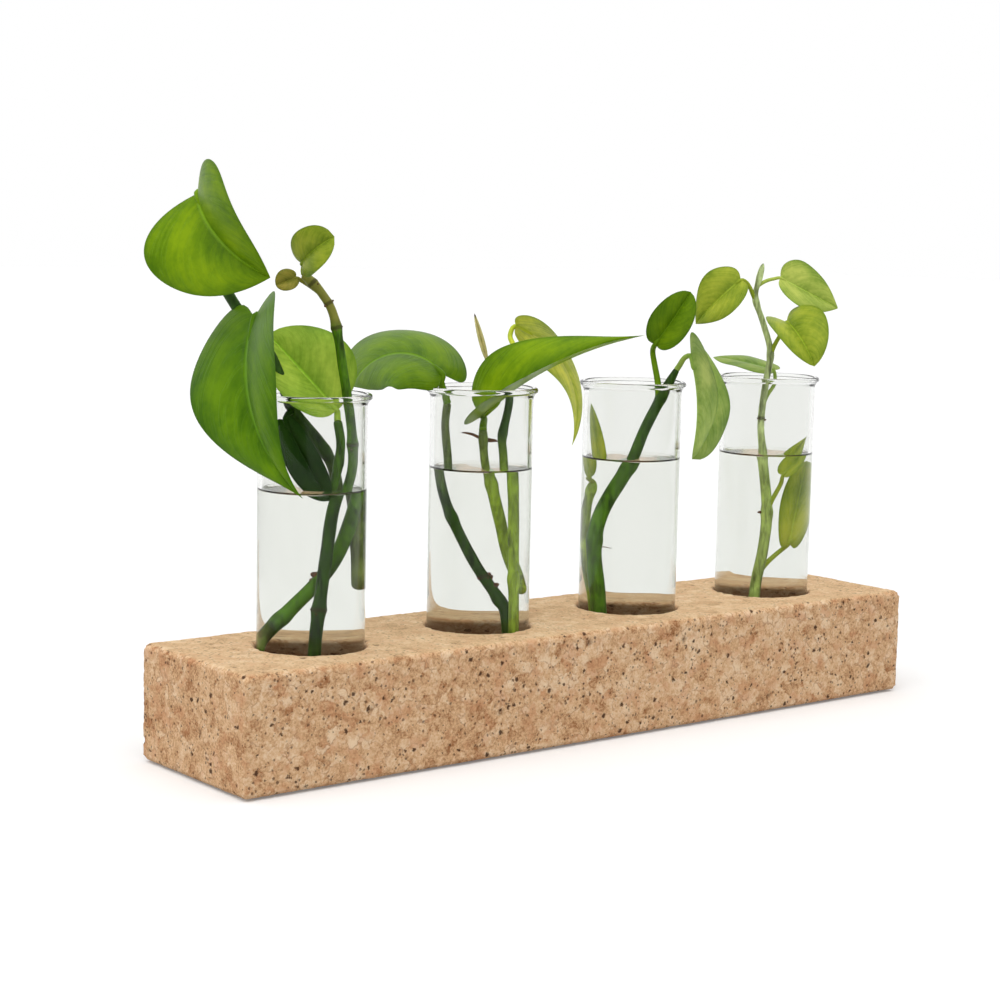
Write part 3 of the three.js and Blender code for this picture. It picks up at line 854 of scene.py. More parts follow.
def cork_wear(points, settings):
    """How many millimetres each point of the block is worn in, and its share in a pit or socket."""
    low, high = (np.array(corner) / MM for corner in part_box("cork_block"))
    wear = np.zeros(len(points))
    pits = np.zeros(len(points))
    sockets = np.zeros(len(points))
    axes = [tube_frame(number) for number in TUBES]
    socket_radius = axes[0].lip_radius - bpy.context.scene.planter_glass.lip_flare / MM
    granule = settings.granule / MM
    reach = settings.edge_reach / MM
    for index, point in enumerate(points):
        to_edge = sorted([*(point - low), *(high - point)])[1]
        to_axis = min(math.hypot(point[0] - tube.x, point[1] - tube.y) for tube in axes)
        to_socket = to_axis - socket_radius
        to_mouth = math.hypot(to_socket, high[2] - point[2])
        distances, centres = noise.voronoi(Vector(point / granule))
        rank = noise.cell(centres[0] * RANK_DRAW)
        seam = math.exp(-(((distances[1] - distances[0]) / SEAM_WIDTH) ** 2))
        worn = GRANULE_SINK + GRANULE_UNEVEN * rank + SEAM_SINK * seam
        crumb = 0.5 + 0.5 * noise.noise(Vector(point) * CRUMBLE_SCALE)
        near = max(0.0, 1 - min(to_edge, to_mouth) / reach)
        worn += settings.edge_wear / MM * near**2 * (0.25 + 1.1 * crumb**2)
        pit_distances, pit_centres = noise.voronoi(Vector(point / PIT_SPACING) + PIT_SHIFT)
        chance = 0.5 + 0.5 * noise.cell(pit_centres[0] * PIT_SIZE_DRAW)
        pit_size = (PIT_SIZES[0] + PIT_SIZES[1] * chance) * PIT_FADE
        if noise.cell(pit_centres[0] * PIT_DRAW) > PIT_RARITY and pit_distances[0] < pit_size:
            hollow = max(0.0, 1 - pit_distances[0] / pit_size)
            worn += settings.pit_depth / MM * min(1.0, 1.6 * hollow)
            pits[index] = min(1.0, 1.8 * hollow)
        # mask of the painted shade in the sockets, growing with depth under the top
        if to_socket < SOCKET_EDGE:
            sockets[index] = min(1.0, max(0.0, (high[2] - point[2]) / SOCKET_FADE))
        if point[2] - low[2] > FLAT_FOOT:
            wear[index] = worn
    return wear, pits, sockets


def lifted_foot(points, settings):
    """The block's points with its bottom edges raised, which leaves a narrow dark gap."""
    low, high = (np.array(corner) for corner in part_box("cork_block"))
    to_side = np.minimum(points - low, high - points)[:, :2].min(axis=1)
    squeezed = low[2] + settings.foot_lift + FOOT_SQUEEZE * (points[:, 2] - low[2])
    raised = np.maximum(points[:, 2], squeezed)
    points[:, 2] = np.where(to_side < settings.foot_reach, raised, points[:, 2])
    return points


def add_values(mesh, **columns):
    """Numbers for each point of a mesh, as attributes that a material or a tree reads."""
    for label, values in columns.items():
        attribute = mesh.attributes.new(label, "FLOAT", "POINT")
        attribute.data.foreach_set("value", np.asarray(values, np.float32))


def cork_mesh(settings):
    """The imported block, remeshed finely and worn in at its edges, seams and pits."""
    source = frame["nodes"]["cork_block"].data.copy()
    builder = bmesh.new()
    builder.from_mesh(source)
    bmesh.ops.remove_doubles(builder, verts=builder.verts, dist=CLOSE)
    builder.to_mesh(source)
    builder.free()
    block = bpy.data.objects.new("cork_source", source)
    bpy.context.scene.collection.objects.link(block)
    remesh = block.modifiers.new("grain", "REMESH")
    remesh.mode = "VOXEL"
    remesh.voxel_size = settings.grain
    mesh = evaluated_mesh(block)
    bpy.data.objects.remove(block)
    points = np.empty(len(mesh.vertices) * 3)
    normals = np.empty(len(mesh.vertices) * 3)
    mesh.vertices.foreach_get("co", points)
    mesh.vertex_normals.foreach_get("vector", normals)
    points, normals = points.reshape(-1, 3), normals.reshape(-1, 3)
    wear, pits, sockets = cork_wear(points / MM, settings)
    worn = lifted_foot(points - normals * wear[:, None] * MM, settings)
    mesh.vertices.foreach_set("co", worn.ravel())
    # how far each point faces up: the mask of the painted light on the top, where there are also
    # fewer specks
    tops = np.clip((normals[:, 2] - TOP_FROM) / TOP_RISE, 0, 1)
    add_values(mesh, pit=pits, socket=sockets, top=tops)
    mesh.update()
    mesh.shade_smooth()
    return mesh


def clear_piece(number, name, profile, material):
    """A clear piece turned round a tube's axis, which keeps no light from what is inside it."""
    tube = tube_frame(number)
    segments = bpy.context.scene.planter_glass.segments
    mesh = lathe(name, profile, segments, (tube.x, tube.y, tube.bottom))
    soften(mesh, CRISP_EDGE)
    obj = link_mesh(name, mesh, material)
    obj.visible_shadow = False
    obj.visible_diffuse = False
    return obj


def tube_profile(number, glass):
    """Outline of a glass tube from the middle of its underside round the lip to its inner floor."""
    tube = tube_frame(number)
    outer = tube.lip_radius - glass.lip_flare / MM
    bore = outer - glass.wall / MM
    length = tube.rim - tube.bottom
    floor = glass.floor / MM
    heel, inner_heel = glass.heel / MM, glass.inner_heel / MM
    bead, flare = glass.lip_bead / MM, glass.lip_flare / MM
    foot = length - glass.lip_height / MM
    rise = length - bead - foot
    shares = np.linspace(0, 1, FLARE_STEPS)
    sweep = [(outer + flare * share**FLARE_CURVE, foot + rise * share) for share in shares]
    inner_flare = INNER_FLARE * flare
    inner_sweep = [(bore + inner_flare * share**FLARE_CURVE, foot + rise * share)
                   for share in shares[::-1]]
    rim_radius = (sweep[-1][0] - inner_sweep[0][0]) / 2
    rim_centre = (inner_sweep[0][0] + rim_radius, length - rim_radius)
    return [
        (0, 0),
        *arc((outer - heel, heel), heel, -90, 0, 8),
        *sweep,
        *arc(rim_centre, rim_radius, 0, 180, 12),
        *inner_sweep,
        *arc((bore - inner_heel, floor + inner_heel), inner_heel, 0, -90, 6),
        (0, floor),
    ]


def water_profile(number, glass, water):
    """Outline of the water, which laps into the glass so that no air shows between them."""
    tube = tube_frame(number)
    lap = water.lap / MM
    bore = bore_radius(number) + lap
    bottom = glass.floor / MM - lap
    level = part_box(f"water_{number}")[1].z / MM - tube.bottom - water.meniscus_rise / MM
    heel = glass.inner_heel / MM + lap
    rise, width = water.meniscus_rise / MM, water.meniscus_width / MM
    curl = [(bore - lap - width * share, level + rise * (1 - share) ** MENISCUS_CURVE)
            for share in np.linspace(0, 1, MENISCUS_STEPS)]
    return [
        (0, bottom),
        *arc((bore - heel, bottom + heel), heel, -90, 0, 6),
        (bore, level + rise),
        *curl,
        (0, level),
    ]


def geometry_tree(name, sizes):
    """An empty geometry tree with one geometry input and further named inputs."""
    tree = bpy.data.node_groups.new(name, "GeometryNodeTree")
    tree.interface.new_socket("Geometry", in_out="INPUT", socket_type="NodeSocketGeometry")
    for label, kind in sizes:
        tree.interface.new_socket(label, in_out="INPUT", socket_type=kind)
    tree.interface.new_socket("Geometry", in_out="OUTPUT", socket_type="NodeSocketGeometry")
    nodes = Nodes(tree)
    return tree, nodes, nodes.node("NodeGroupInput")


def named_value(nodes, name, kind):
    return nodes.node("GeometryNodeInputNamedAttribute", {"data_type": kind}, {"Name": name})


def end_tree(nodes, geometry, material):
    realized = nodes.node("GeometryNodeRealizeInstances", None, {"Geometry": geometry})
    inputs = {"Geometry": realized, "Material": material}
    painted = nodes.node("GeometryNodeSetMaterial", None, inputs)
    nodes.node("NodeGroupOutput", None, {"Geometry": painted})


def sweep_tree():
    """Sweeps a round section along lines of points, as thick as each point's girth says."""
    sizes = (("Sides", "NodeSocketInt"), ("Finish", "NodeSocketMaterial"))
    tree, nodes, given = geometry_tree("Round limb along a line", sizes)
    line = nodes.node("GeometryNodeMeshToCurve", None, {"Mesh": given})
    girth = named_value(nodes, "girth", "FLOAT")
    inputs = {"Resolution": given.other("Sides"), "Radius": 1.0}
    section = nodes.node("GeometryNodeCurvePrimitiveCircle", None, inputs)
    inputs = {"Curve": line, "Profile Curve": section, "Scale": girth, "Fill Caps": True}
    end_tree(nodes, nodes.node("GeometryNodeCurveToMesh", None, inputs), given.other("Finish"))
    return tree


def nub_tree():
    """Sets a small bump on each point, as large as its girth says, facing as its facing says."""
    sizes = (("Length", "NodeSocketFloat"), ("Finish", "NodeSocketMaterial"))
    tree, nodes, given = geometry_tree("Root bumps on points", sizes)
    ball = nodes.node("GeometryNodeMeshIcoSphere", None, {"Radius": 1.0, "Subdivisions": 2})
    inputs = {"X": 1.0, "Y": 1.0, "Z": given.other("Length")}
    stretch = nodes.node("ShaderNodeCombineXYZ", None, inputs)
    long_ball = nodes.node("GeometryNodeTransform", None, {"Geometry": ball, "Scale": stretch})
    facing = named_value(nodes, "facing", "FLOAT_VECTOR")
    turn = nodes.node("FunctionNodeAlignRotationToVector", {"axis": "Z"}, {"Vector": facing})
    inputs = {
        "Points": given, "Instance": long_ball, "Rotation": turn,
        "Scale": named_value(nodes, "girth", "FLOAT"),
    }
    end_tree(nodes, nodes.node("GeometryNodeInstanceOnPoints", None, inputs), given.other("Finish"))
    return tree


def run_tree(name, mesh, tree, values, material):
    """A plain mesh object of what a geometry tree makes from a mesh."""
    source = link_mesh(name + "_source", mesh, material)
    modifier = source.modifiers.new("shape", "NODES")
    modifier.node_group = tree
    for item in tree.interface.items_tree:
        if item.in_out == "INPUT" and item.name in values:
            modifier[item.identifier] = values[item.name]
    made = evaluated_mesh(source)
    bpy.data.objects.remove(source)
    return link_mesh(name, made, material)


class Line(NamedTuple):
    """Points in metres, each with its girth in metres, scar, dryness and lift out of the water."""

    points: np.ndarray
    girth: np.ndarray
    mark: np.ndarray
    dry: np.ndarray
    lift: np.ndarray


def line_mesh(name, lines):
    """Lines of points as loose edges, with their other values as attributes."""
    edges = []
    first = 0
    for line in lines:
        last = first + len(line.points) - 1
        edges.extend((index, index + 1) for index in range(first, last))
        first = last + 1
    mesh = bpy.data.meshes.new(name)
    mesh.from_pydata(np.vstack([line.points for line in lines]), edges, [])
    girth, mark, dry, lift = (np.concatenate(column) for column in list(zip(*lines))[1:])
    add_values(mesh, girth=girth, mark=mark, dry=dry, lift=lift)
    return mesh


def nearest_of(places, shares, length):
    """For each share of a length, how far off the nearest of some places is, if there is one."""
    if not places:
        return np.full(len(shares), length + FAR_OFF)
    offsets = (shares[:, None] - np.array(places)) * length
    return offsets[np.arange(len(shares)), np.abs(offsets).argmin(axis=1)]


def stem_line(number, name, settings):
    """A stem's fine points, with swollen leaf nodes, rounded ends and a slight unevenness."""
    stem = STEMS[number][name]
    path = stem_path(number, name)
    rings = max(16, int(path.length / (settings.step / MM)))
    ends = np.array(END_STEPS) / path.length
    between = np.linspace(END_LENGTH / path.length, 1 - END_LENGTH / path.length, rings)
    shares = np.concatenate([ends, between, 1 - ends[::-1]])
    points = path.at(shares)
    girth = stem.radius[0] + (stem.radius[1] - stem.radius[0]) * shares
    swell = settings.node_swell / MM
    off_node = nearest_of(stem.nodes, shares, path.length)
    girth += NODE_SWELL * swell * np.exp(-((off_node / (settings.node_length / MM)) ** 2))
    off_scar = nearest_of(stem.scars, shares, path.length)
    girth += SCAR_SWELL * swell * np.exp(-((off_scar / SCAR_LENGTH) ** 2))
    uneven = [noise.noise(Vector(point) * UNEVEN_SCALE) for point in points]
    girth *= 1 + UNEVEN * np.array(uneven)
    to_foot = np.minimum(1, shares * path.length / END_LENGTH)
    to_head = np.minimum(1, (1 - shares) * path.length)
    girth *= FOOT_BLUNT + (1 - FOOT_BLUNT) * np.sqrt(1 - (1 - to_foot) ** 2)
    girth *= HEAD_BLUNT + (1 - HEAD_BLUNT) * np.sqrt(1 - (1 - to_head) ** 2)
    if stem.bud:
        rest = np.minimum(1, (1 - shares) * path.length / stem.bud)
        girth *= np.maximum(0.06, rest**0.55 * (1 + 1.6 * (1 - rest)))
    if stem.merge:
        rest = np.minimum(1, (1 - shares) * path.length / stem.merge)
        girth *= 1 - MERGE_LOSS * (1 - rest) ** 2
    mark = np.exp(-((off_scar / MARK_LENGTH) ** 2))
    dry = np.clip((shares - stem.dry_from) * DRY_RISE, 0, 1)
    points = in_row_frame(number, points)
    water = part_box(f"water_{number}")[1].z
    lift = np.clip((points[:, 2] - water) / settings.tone_blend + 0.5, 0, 1)
    return Line(points, girth * MM, mark, dry, lift)


def root_lines(number):
    """Short tapered roots that leave their stems and bend down a little."""
    # Without a seed, noise_vector differs from run to run.
    noise.seed_set(ROOT_SEED)
    lines = []
    for root in ROOTS[number]:
        start = stem_path(number, root.stem).at(root.along)[0]
        way = direction(root.heading, root.rise)
        stem = STEMS[number][root.stem]
        reach = root.length + stem.radius[0]
        shares = np.linspace(0, 1, ROOT_STEPS)
        drop = np.array([0, 0, -ROOT_DROP * root.length])
        points = start + np.outer(shares * reach, way) + np.outer(shares**2.5, drop)
        wander = [noise.noise_vector(Vector(point) * ROOT_WANDER_SCALE) for point in points]
        points += ROOT_WANDER * np.array(wander)
        girth = root.girth * (1 - 0.4 * shares) * np.sqrt(1 - 0.95 * shares**6)
        lines.append(Line(in_row_frame(number, points), girth * MM, shares, shares, shares))
    return lines


def nub_mesh(number, settings):
    """Points round each scar of a cutting's stems where small root bumps stand."""
    points, facings, girths = [], [], []
    for name, stem in STEMS[number].items():
        path = stem_path(number, name)
        for place, node in enumerate(stem.scars):
            tangent = path.tangent(node)
            side = unit(np.cross(tangent, (0.3, 0.9, 0.2)))
            other = np.cross(tangent, side)
            radius = stem.radius[0] + (stem.radius[1] - stem.radius[0]) * node
            for turn in range(settings.nubs):
                bearing = NUB_TURN * turn + NUB_SHIFT * place + number
                facing = side * math.cos(bearing) + other * math.sin(bearing)
                along = node + (0.5 * math.sin(5 * bearing) - 0.4) * NUB_SPREAD / path.length
                points.append(path.at(min(max(along, 0), 1))[0] + facing * (radius + NUB_LIFT))
                facings.append(facing)
                girths.append((NUB_GIRTH + 0.1 * math.sin(3 * bearing)) * MM)
    mesh = bpy.data.meshes.new(f"nubs_{number}")
    mesh.from_pydata(in_row_frame(number, points), [], [])
    facing_values = np.array(facings, np.float32).ravel()
    mesh.attributes.new("facing", "FLOAT_VECTOR", "POINT").data.foreach_set("vector", facing_values)
    add_values(mesh, girth=girths)
    return mesh


def turned_about(vector, axis, degrees):
    return np.array(Matrix.Rotation(math.radians(degrees), 3, Vector(axis)) @ Vector(vector))


class Blade:
    """The surface of one leaf, as a rule of the share along it and the share across it."""

    SHOULDER = 0.45
    LOBE_FADE = 3

    def __init__(self, number, name):
        self.leaf = LEAVES[number][name]
        self.base = spot(number, self.leaf.base, 0)
        self.forward = direction(self.leaf.heading, self.leaf.rise)
        level = direction(self.leaf.heading + 90, 0)
        self.face = turned_about(np.cross(self.forward, level), self.forward, -self.leaf.roll)
        self.left = np.cross(self.face, self.forward)
        self.phase = sum(ord(letter) for letter in name) + number

    def midrib(self, share):
        bend = math.radians(self.leaf.droop)
        turn = bend * share
        radius = self.leaf.length / bend
        ahead = self.forward * radius * math.sin(turn)
        down = self.face * radius * (1 - math.cos(turn))
        return self.base + ahead - down, self.face * math.cos(turn) + self.forward * math.sin(turn)

    def fullness(self, share):
        def rule(at):
            return at**self.SHOULDER * (1 - at) ** self.leaf.tip

        return rule(share) / rule(self.SHOULDER / (self.SHOULDER + self.leaf.tip))

    def at(self, share, across, settings):
        """The blade's point and its facing at a share along and a share across, from -1 to 1."""
        leaf = self.leaf
        spread = abs(across) * self.fullness(share)
        along = share - leaf.lobe * math.sin(math.pi * spread) * (1 - share) ** self.LOBE_FADE
        fold = math.radians(leaf.folds[0] if across >= 0 else leaf.folds[1])
        point, face = self.midrib(along)
        half = leaf.width / 2
        swell = math.sin(math.pi * share)
        crown = settings.crown * math.sin(math.pi * abs(across)) * swell * half
        wave = math.sin(RIPPLES * share + self.phase + (RIPPLE_SHIFT if across > 0 else 0))
        ripple = settings.ripple * half * across**2 * spread * wave
        near_rib = math.exp(-((across * half / GROOVE_WIDTH) ** 2))
        groove = settings.groove / MM * near_rib * swell**0.5
        height = spread * half * math.sin(fold) + crown * math.cos(fold) + ripple - groove
        side = math.copysign(spread * half * math.cos(fold), across)
        return point + self.left * side + face * height, face


def blade_grid(builder, blade, settings, number):
    """Two sheets of faces for a blade's face and back, which meet along the margin."""
    uv_layer = builder.loops.layers.uv["UVMap"]
    upper_layer = builder.faces.layers.float["upper"]
    rows, columns = settings.rows, settings.columns
    half = settings.thickness / MM / 2
    for side, upper in ((1, 1.0), (-1, 0.0)):
        grid = []
        for row in range(rows + 1):
            share = (row / rows) ** ROW_CROWDING
            line = []
            for column in range(columns + 1):
                across = math.sin((column / columns - 0.5) * math.pi)
                point, face = blade.at(share, across, settings)
                thick = half * (1 - across**4)
                thick *= min(1, THIN_ENDS * share) * min(1, THIN_ENDS * (1 - share))
                place = in_row_frame(number, point + face * side * thick)
                line.append((builder.verts.new(place), ((across + 1) / 2, share)))
            grid.append(line)
        for row in range(rows):
            for column in range(columns):
                corners = [grid[row][column], grid[row + 1][column],
                           grid[row + 1][column + 1], grid[row][column + 1]]
                if side < 0:
                    corners.reverse()
                made = builder.faces.new([vertex for vertex, _ in corners])
                made[upper_layer] = upper
                for loop, (_, uv) in zip(made.loops, corners):
                    loop[uv_layer].uv = uv


def stalk_path(number, blade, settings):
    """The stalk leaves its stem along it, bends over and runs in under the midrib."""
    leaf = blade.leaf
    stem = stem_path(number, leaf.stem)
    root = stem.at(leaf.along)[0]
    end, face = blade.midrib(settings.stalk_run_in)
    stretch = np.linalg.norm(blade.base - root) * settings.stalk_stretch
    leave = unit(stem.tangent(leaf.along) * settings.stalk_lean + unit(blade.base - root))
    arrive = unit(blade.forward + blade.face * settings.stalk_tuck)
    first, last = root + leave * stretch, blade.base - arrive * stretch
    points = []
    for share in np.linspace(0, 1, 5):
        rest = 1 - share
        points.append(rest**3 * root + 3 * rest**2 * share * first
                      + 3 * rest * share**2 * last + share**3 * blade.base)
    return Path([*points, end - face * settings.thickness / MM / 2])


def stalk_limb(builder, number, blade, settings):
    """A round tapering stalk, added to the blade's faces."""
    uv_layer = builder.loops.layers.uv["UVMap"]
    upper_layer = builder.faces.layers.float["upper"]
    path = stalk_path(number, blade, settings)
    shares = np.linspace(0, 1, settings.stalk_steps + 1)
    points = path.at(shares)
    normal = unit(np.cross(path.tangent(0), (0.31, 0.52, 0.79)))
    rings = []
    for share, point in zip(shares, points):
        tangent = path.tangent(share)
        normal = unit(normal - tangent * normal.dot(tangent))
        other = np.cross(tangent, normal)
        radius = blade.leaf.stalk * (1 - (1 - settings.stalk_taper) * share)
        if share >= STALK_ROUNDED:
            past = (share - STALK_ROUNDED) / (1 - STALK_ROUNDED)
            radius *= math.sqrt(max(0.04, 1 - past**2))
        ring = []
        for index in range(settings.stalk_sides):
            turn = 2 * math.pi * index / settings.stalk_sides
            offset = radius * (normal * math.cos(turn) + other * math.sin(turn))
            ring.append(builder.verts.new(in_row_frame(number, point + offset)))
        rings.append(ring)
    made = [builder.faces.new(list(reversed(rings[0]))), builder.faces.new(rings[-1])]
    for lower, upper in zip(rings, rings[1:]):
        for index in range(settings.stalk_sides):
            after = (index + 1) % settings.stalk_sides
            made.append(builder.faces.new([lower[index], lower[after], upper[after], upper[index]]))
    for face in made:
        face[upper_layer] = 1.0
        for loop in face.loops:
            loop[uv_layer].uv = STALK_UV


def leaf_mesh(number, name, settings):
    """One leaf: its blade, and the stalk that carries it."""
    builder = bmesh.new()
    builder.loops.layers.uv.new("UVMap")
    builder.faces.layers.float.new("upper")
    blade = Blade(number, name)
    blade_grid(builder, blade, settings, number)
    bmesh.ops.remove_doubles(builder, verts=builder.verts, dist=CLOSE)
    stalk_limb(builder, number, blade, settings)
    mesh = bpy.data.meshes.new(name)
    builder.to_mesh(mesh)
    builder.free()
    soften(mesh, LEAF_EDGE)
    return mesh


# Settings


def size(label, text, millimetres):
    return bpy.props.FloatProperty(
        name=label, description=text, default=millimetres * MM, min=0.0, unit="LENGTH", precision=5
    )


def colour(label, text, value):
    return bpy.props.FloatVectorProperty(
        name=label, description=text, default=value, size=3, min=0.0, max=1.0, subtype="COLOR"
    )


def share(label, text, value):
    return bpy.props.FloatProperty(name=label, description=text, default=value, subtype="FACTOR")


def count(label, text, value):
    return bpy.props.IntProperty(name=label, description=text, default=value, min=1)


def angle(label, text, degrees):
    return bpy.props.FloatProperty(
        name=label, description=text, default=math.radians(degrees), subtype="ANGLE"
    )


def level(label, text, value):
    return bpy.props.FloatProperty(name=label, description=text, default=value, min=0.0)


class CorkSettings(bpy.types.PropertyGroup):
    """Sizes and colours of the cork block."""

    grain: size("Grain", "Size of one facet of the worn surface", 1.0)
    granule: size("Granule", "Usual size of a cork granule", 4.2)
    edge_reach: size("Edge reach", "How far from an edge the cork is worn", 2.0)
    edge_wear: size("Edge wear", "How deep an edge is worn", 0.35)
    pit_depth: size("Pit depth", "How deep a missing speck of bark is", 0.6)
    foot_lift: size("Foot lift", "How far the block's bottom edges stand off the floor", 0.7)
    foot_reach: size("Foot reach", "How far in from its sides the block stands off the floor", 3.5)
    light: colour("Light cork", "Colour of the palest granules", linear(244, 214, 178))
    mid: colour("Cork", "Colour of most granules", linear(224, 182, 138))
    dark: colour("Dark cork", "Colour of dark granules and seams", linear(164, 112, 72))
    blush: colour("Reddish cork", "Colour of the reddish granules", linear(210, 150, 108))
    # painted light: the paler colour laid on the faces that point up
    painted_light: colour("Painted top light", "Colour of the sanded top", linear(226, 198, 156))
    bark: colour("Bark", "Colour of specks of bark", linear(62, 34, 18))
    # painted shade: the dark colour laid on the cork in the sockets
    socket_shade: colour("Socket shade", "Colour of the cork in the sockets", linear(84, 52, 26))


class GlassSettings(bpy.types.PropertyGroup):
    """Sizes and tint of the glass tubes."""

    wall: size("Wall", "Thickness of a tube's wall", 1.5)
    floor: size("Floor", "Thickness of a tube's closed end", 2.0)
    heel: size("Heel", "Outer rounding of the closed end", 3.0)
    inner_heel: size("Inner heel", "Inner rounding of the closed end", 1.5)
    lip_flare: size("Lip flare", "How far the lip stands out", 1.5)
    lip_height: size("Lip height", "From the start of the flare to the rim", 4.0)
    lip_bead: size("Lip bead", "Height of the rounded rim", 1.5)
    segments: count("Segments", "Facets round a tube", 96)
    tint: colour("Tint", "Colour of the glass", (0.885, 0.892, 0.872))
    ior: level("Refraction", "Index of refraction of the glass", 1.5)
    gleam: share("Gleam", "How much of a mirror the glass is, seen head-on", 0.15)


class WaterSettings(bpy.types.PropertyGroup):
    """Sizes and tint of the water."""

    lap: size("Lap", "How far the water reaches into the glass", 0.12)
    meniscus_rise: size("Meniscus rise", "How far the water climbs the glass", 0.9)
    meniscus_width: size("Meniscus width", "How far from the glass the water starts to climb", 2.2)
    tint: colour("Tint", "Colour of the water", (0.97, 0.975, 0.96))
    ior: level("Refraction", "Index of refraction of water", 1.333)
    gleam: share("Gleam", "How much of a mirror the water is, seen head-on", 0.15)


class StemSettings(bpy.types.PropertyGroup):
    """Sizes and colours of the stems and their roots."""

    step: size("Step", "Length of one ring of a stem's facets", 0.7)
    sides: count("Sides", "Facets round a stem", 24)
    node_swell: size("Node swelling", "How far a leaf node stands out", 0.5)
    node_length: size("Node length", "How far along the stem a node swells", 2.2)
    glass_gap: size("Glass gap", "Room between a stem and the glass", 0.3)
    tone_blend: size("Tone blend", "Height over which a stem's two tones run together", 24.0)
    nubs: count("Root bumps", "Root bumps round each scar", 3)
    nub_length: level("Bump length", "Length of a root bump against its width", 1.5)
    green: colour("Green stem", "Colour of most stems", linear(76, 120, 8))
    dark: colour("Dark stem", "Colour of older stems", linear(50, 84, 14))
    grey: colour("Grey stem", "Colour of greyish stems", linear(104, 122, 58))
    fresh: colour("Fresh stem", "Colour of fresh green stems", linear(148, 178, 50))
    soft: colour("Soft green stem", "Colour of a young stem's foot", linear(164, 188, 96))
    pale: colour("Pale stem", "Colour of young stems", linear(192, 210, 144))
    scar: colour("Scar", "Colour of a dark scar", linear(52, 42, 18))
    dry: colour("Dry stem", "Colour of a dry yellowish part", linear(150, 142, 64))
    root: colour("Root", "Colour of water roots", linear(80, 50, 26))


class LeafSettings(bpy.types.PropertyGroup):
    """Sizes and colours of the leaves."""

    thickness: size("Thickness", "Thickness of a blade", 0.7)
    rows: count("Rows", "Rows of facets along a blade", 48)
    columns: count("Columns", "Columns of facets across a blade", 28)
    crown: share("Crown", "How far each half of a blade bulges", 0.05)
    ripple: share("Ripple", "How far a blade's margin waves", 0.05)
    groove: size("Groove", "Depth of the midrib's groove", 0.35)
    stalk_taper: share("Stalk taper", "Stalk radius at the blade against that at the stem", 0.7)
    stalk_run_in: share("Stalk run-in", "How far a stalk runs on under the blade", 0.14)
    stalk_lean: share("Stalk lean", "How much a stalk starts along its stem", 0.5)
    stalk_stretch: share("Stalk bend", "Reach of a stalk's bend as a share of its span", 0.4)
    stalk_tuck: level("Stalk tuck", "How much a stalk comes from behind its blade", 1.5)
    stalk_sides: count("Stalk sides", "Facets round a stalk", 14)
    stalk_steps: count("Stalk steps", "Rings of facets along a stalk", 28)
    bright: colour("Bright leaf", "Colour of grown leaves", linear(106, 142, 6))
    mid: colour("Mid-green leaf", "Colour of leaves that lie in the light", linear(90, 125, 5))
    green: colour("Green leaf", "Colour of the greenest leaves", linear(82, 123, 3))
    # painted light: this tone is brighter than the leaf, for light shining through leaves against
    # the light
    yellow: colour("Yellow-green leaf", "Colour of leaves against the light", linear(156, 190, 62))
    # painted shade: this tone is darker than the leaf, for the shade on the leaf deep in the first
    # tube
    deep: colour("Deep leaf", "Colour of dark leaves", linear(28, 62, 3))
    lime: colour("Lime leaf", "Colour of the yellowest leaves", linear(156, 178, 74))
    pale: colour("Pale leaf", "Colour of a leaf that is still rolled up", linear(216, 206, 142))
    olive: colour("Olive leaf", "Colour of small soft leaves", linear(141, 160, 44))
    grey: colour("Grey leaf", "Colour of greyish leaves", linear(138, 166, 74))
    gold: colour("Golden leaf", "Colour of the drooping leaf", linear(190, 206, 60))
    brown: colour("Bud", "Colour of the opening bud", linear(142, 138, 52))
    withered: colour("Withered tip", "Colour of the rolled leaf's dry tip", linear(66, 54, 30))


class StageSettings(bpy.types.PropertyGroup):
    """Camera, light and floor."""

    azimuth: angle("Azimuth", "Turn of the camera round the planter", -38.4814)
    elevation: angle("Elevation", "Height of the camera over the horizon", 7.2679)
    roll: angle("Roll", "Turn of the picture", 1.1991)
    distance: size("Distance", "From the camera to the point it looks at", 766.08)
    target_x: bpy.props.FloatProperty(
        name="Target along", description="Where the camera looks, along the block",
        default=-0.02608, unit="LENGTH",
    )
    target_z: size("Target height", "Where the camera looks, over the floor", 83.24)
    lens: level("Lens", "Focal length in millimetres on a 36 mm sensor", 78.472)
    sky: level("Sky", "Brightness of the light from all round", 0.55)
    room: level("Room", "Brightness of the room before the planter, as gloss shows it", 0.25)
    backdrop: bpy.props.FloatVectorProperty(
        name="Backdrop", description="Where the white backdrop stands, seen from the planter",
        default=(0.62, 0.78, 0.0), subtype="DIRECTION",
    )
    key: level("Key light", "Strength of the broad light from above", 1.7)
    key_spread: angle("Key spread", "How broad the light from above is", 70)
    side: level("Side light", "Power of the lamp at the left in watts", 2.2)
    side_width: size("Side width", "Width of the lamp at the left", 800)
    floor: colour("Floor", "Colour of the floor as it lights the planter", (0.6, 0.6, 0.6))
    shown_floor: colour("Floor shown", "Colour of the floor as it is seen", (0.86, 0.86, 0.86))
    floor_glow: share("Floor glow", "How far the floor shows white in a shadow", 0.14)
    floor_reach: size("Floor reach", "From the planter to the floor's edge", 6000)
    floor_drop: size("Floor drop", "Room between the planter and the floor", 0.2)
    bounces: count("Bounces", "Walls of glass and water that a look along the row passes", 48)


# Operators


class PLANTER_OT_cork_block(bpy.types.Operator):
    """Make the cork block with its sockets, worn edges and pits"""

    bl_idname = "planter.cork_block"
    bl_label = "Cork block"

    def execute(self, context):
        settings = context.scene.planter_cork
        block = link_mesh("cork_body", cork_mesh(settings), cork_material(settings))
        settle(block, "block", "cork", "cork_block")
        return {"FINISHED"}


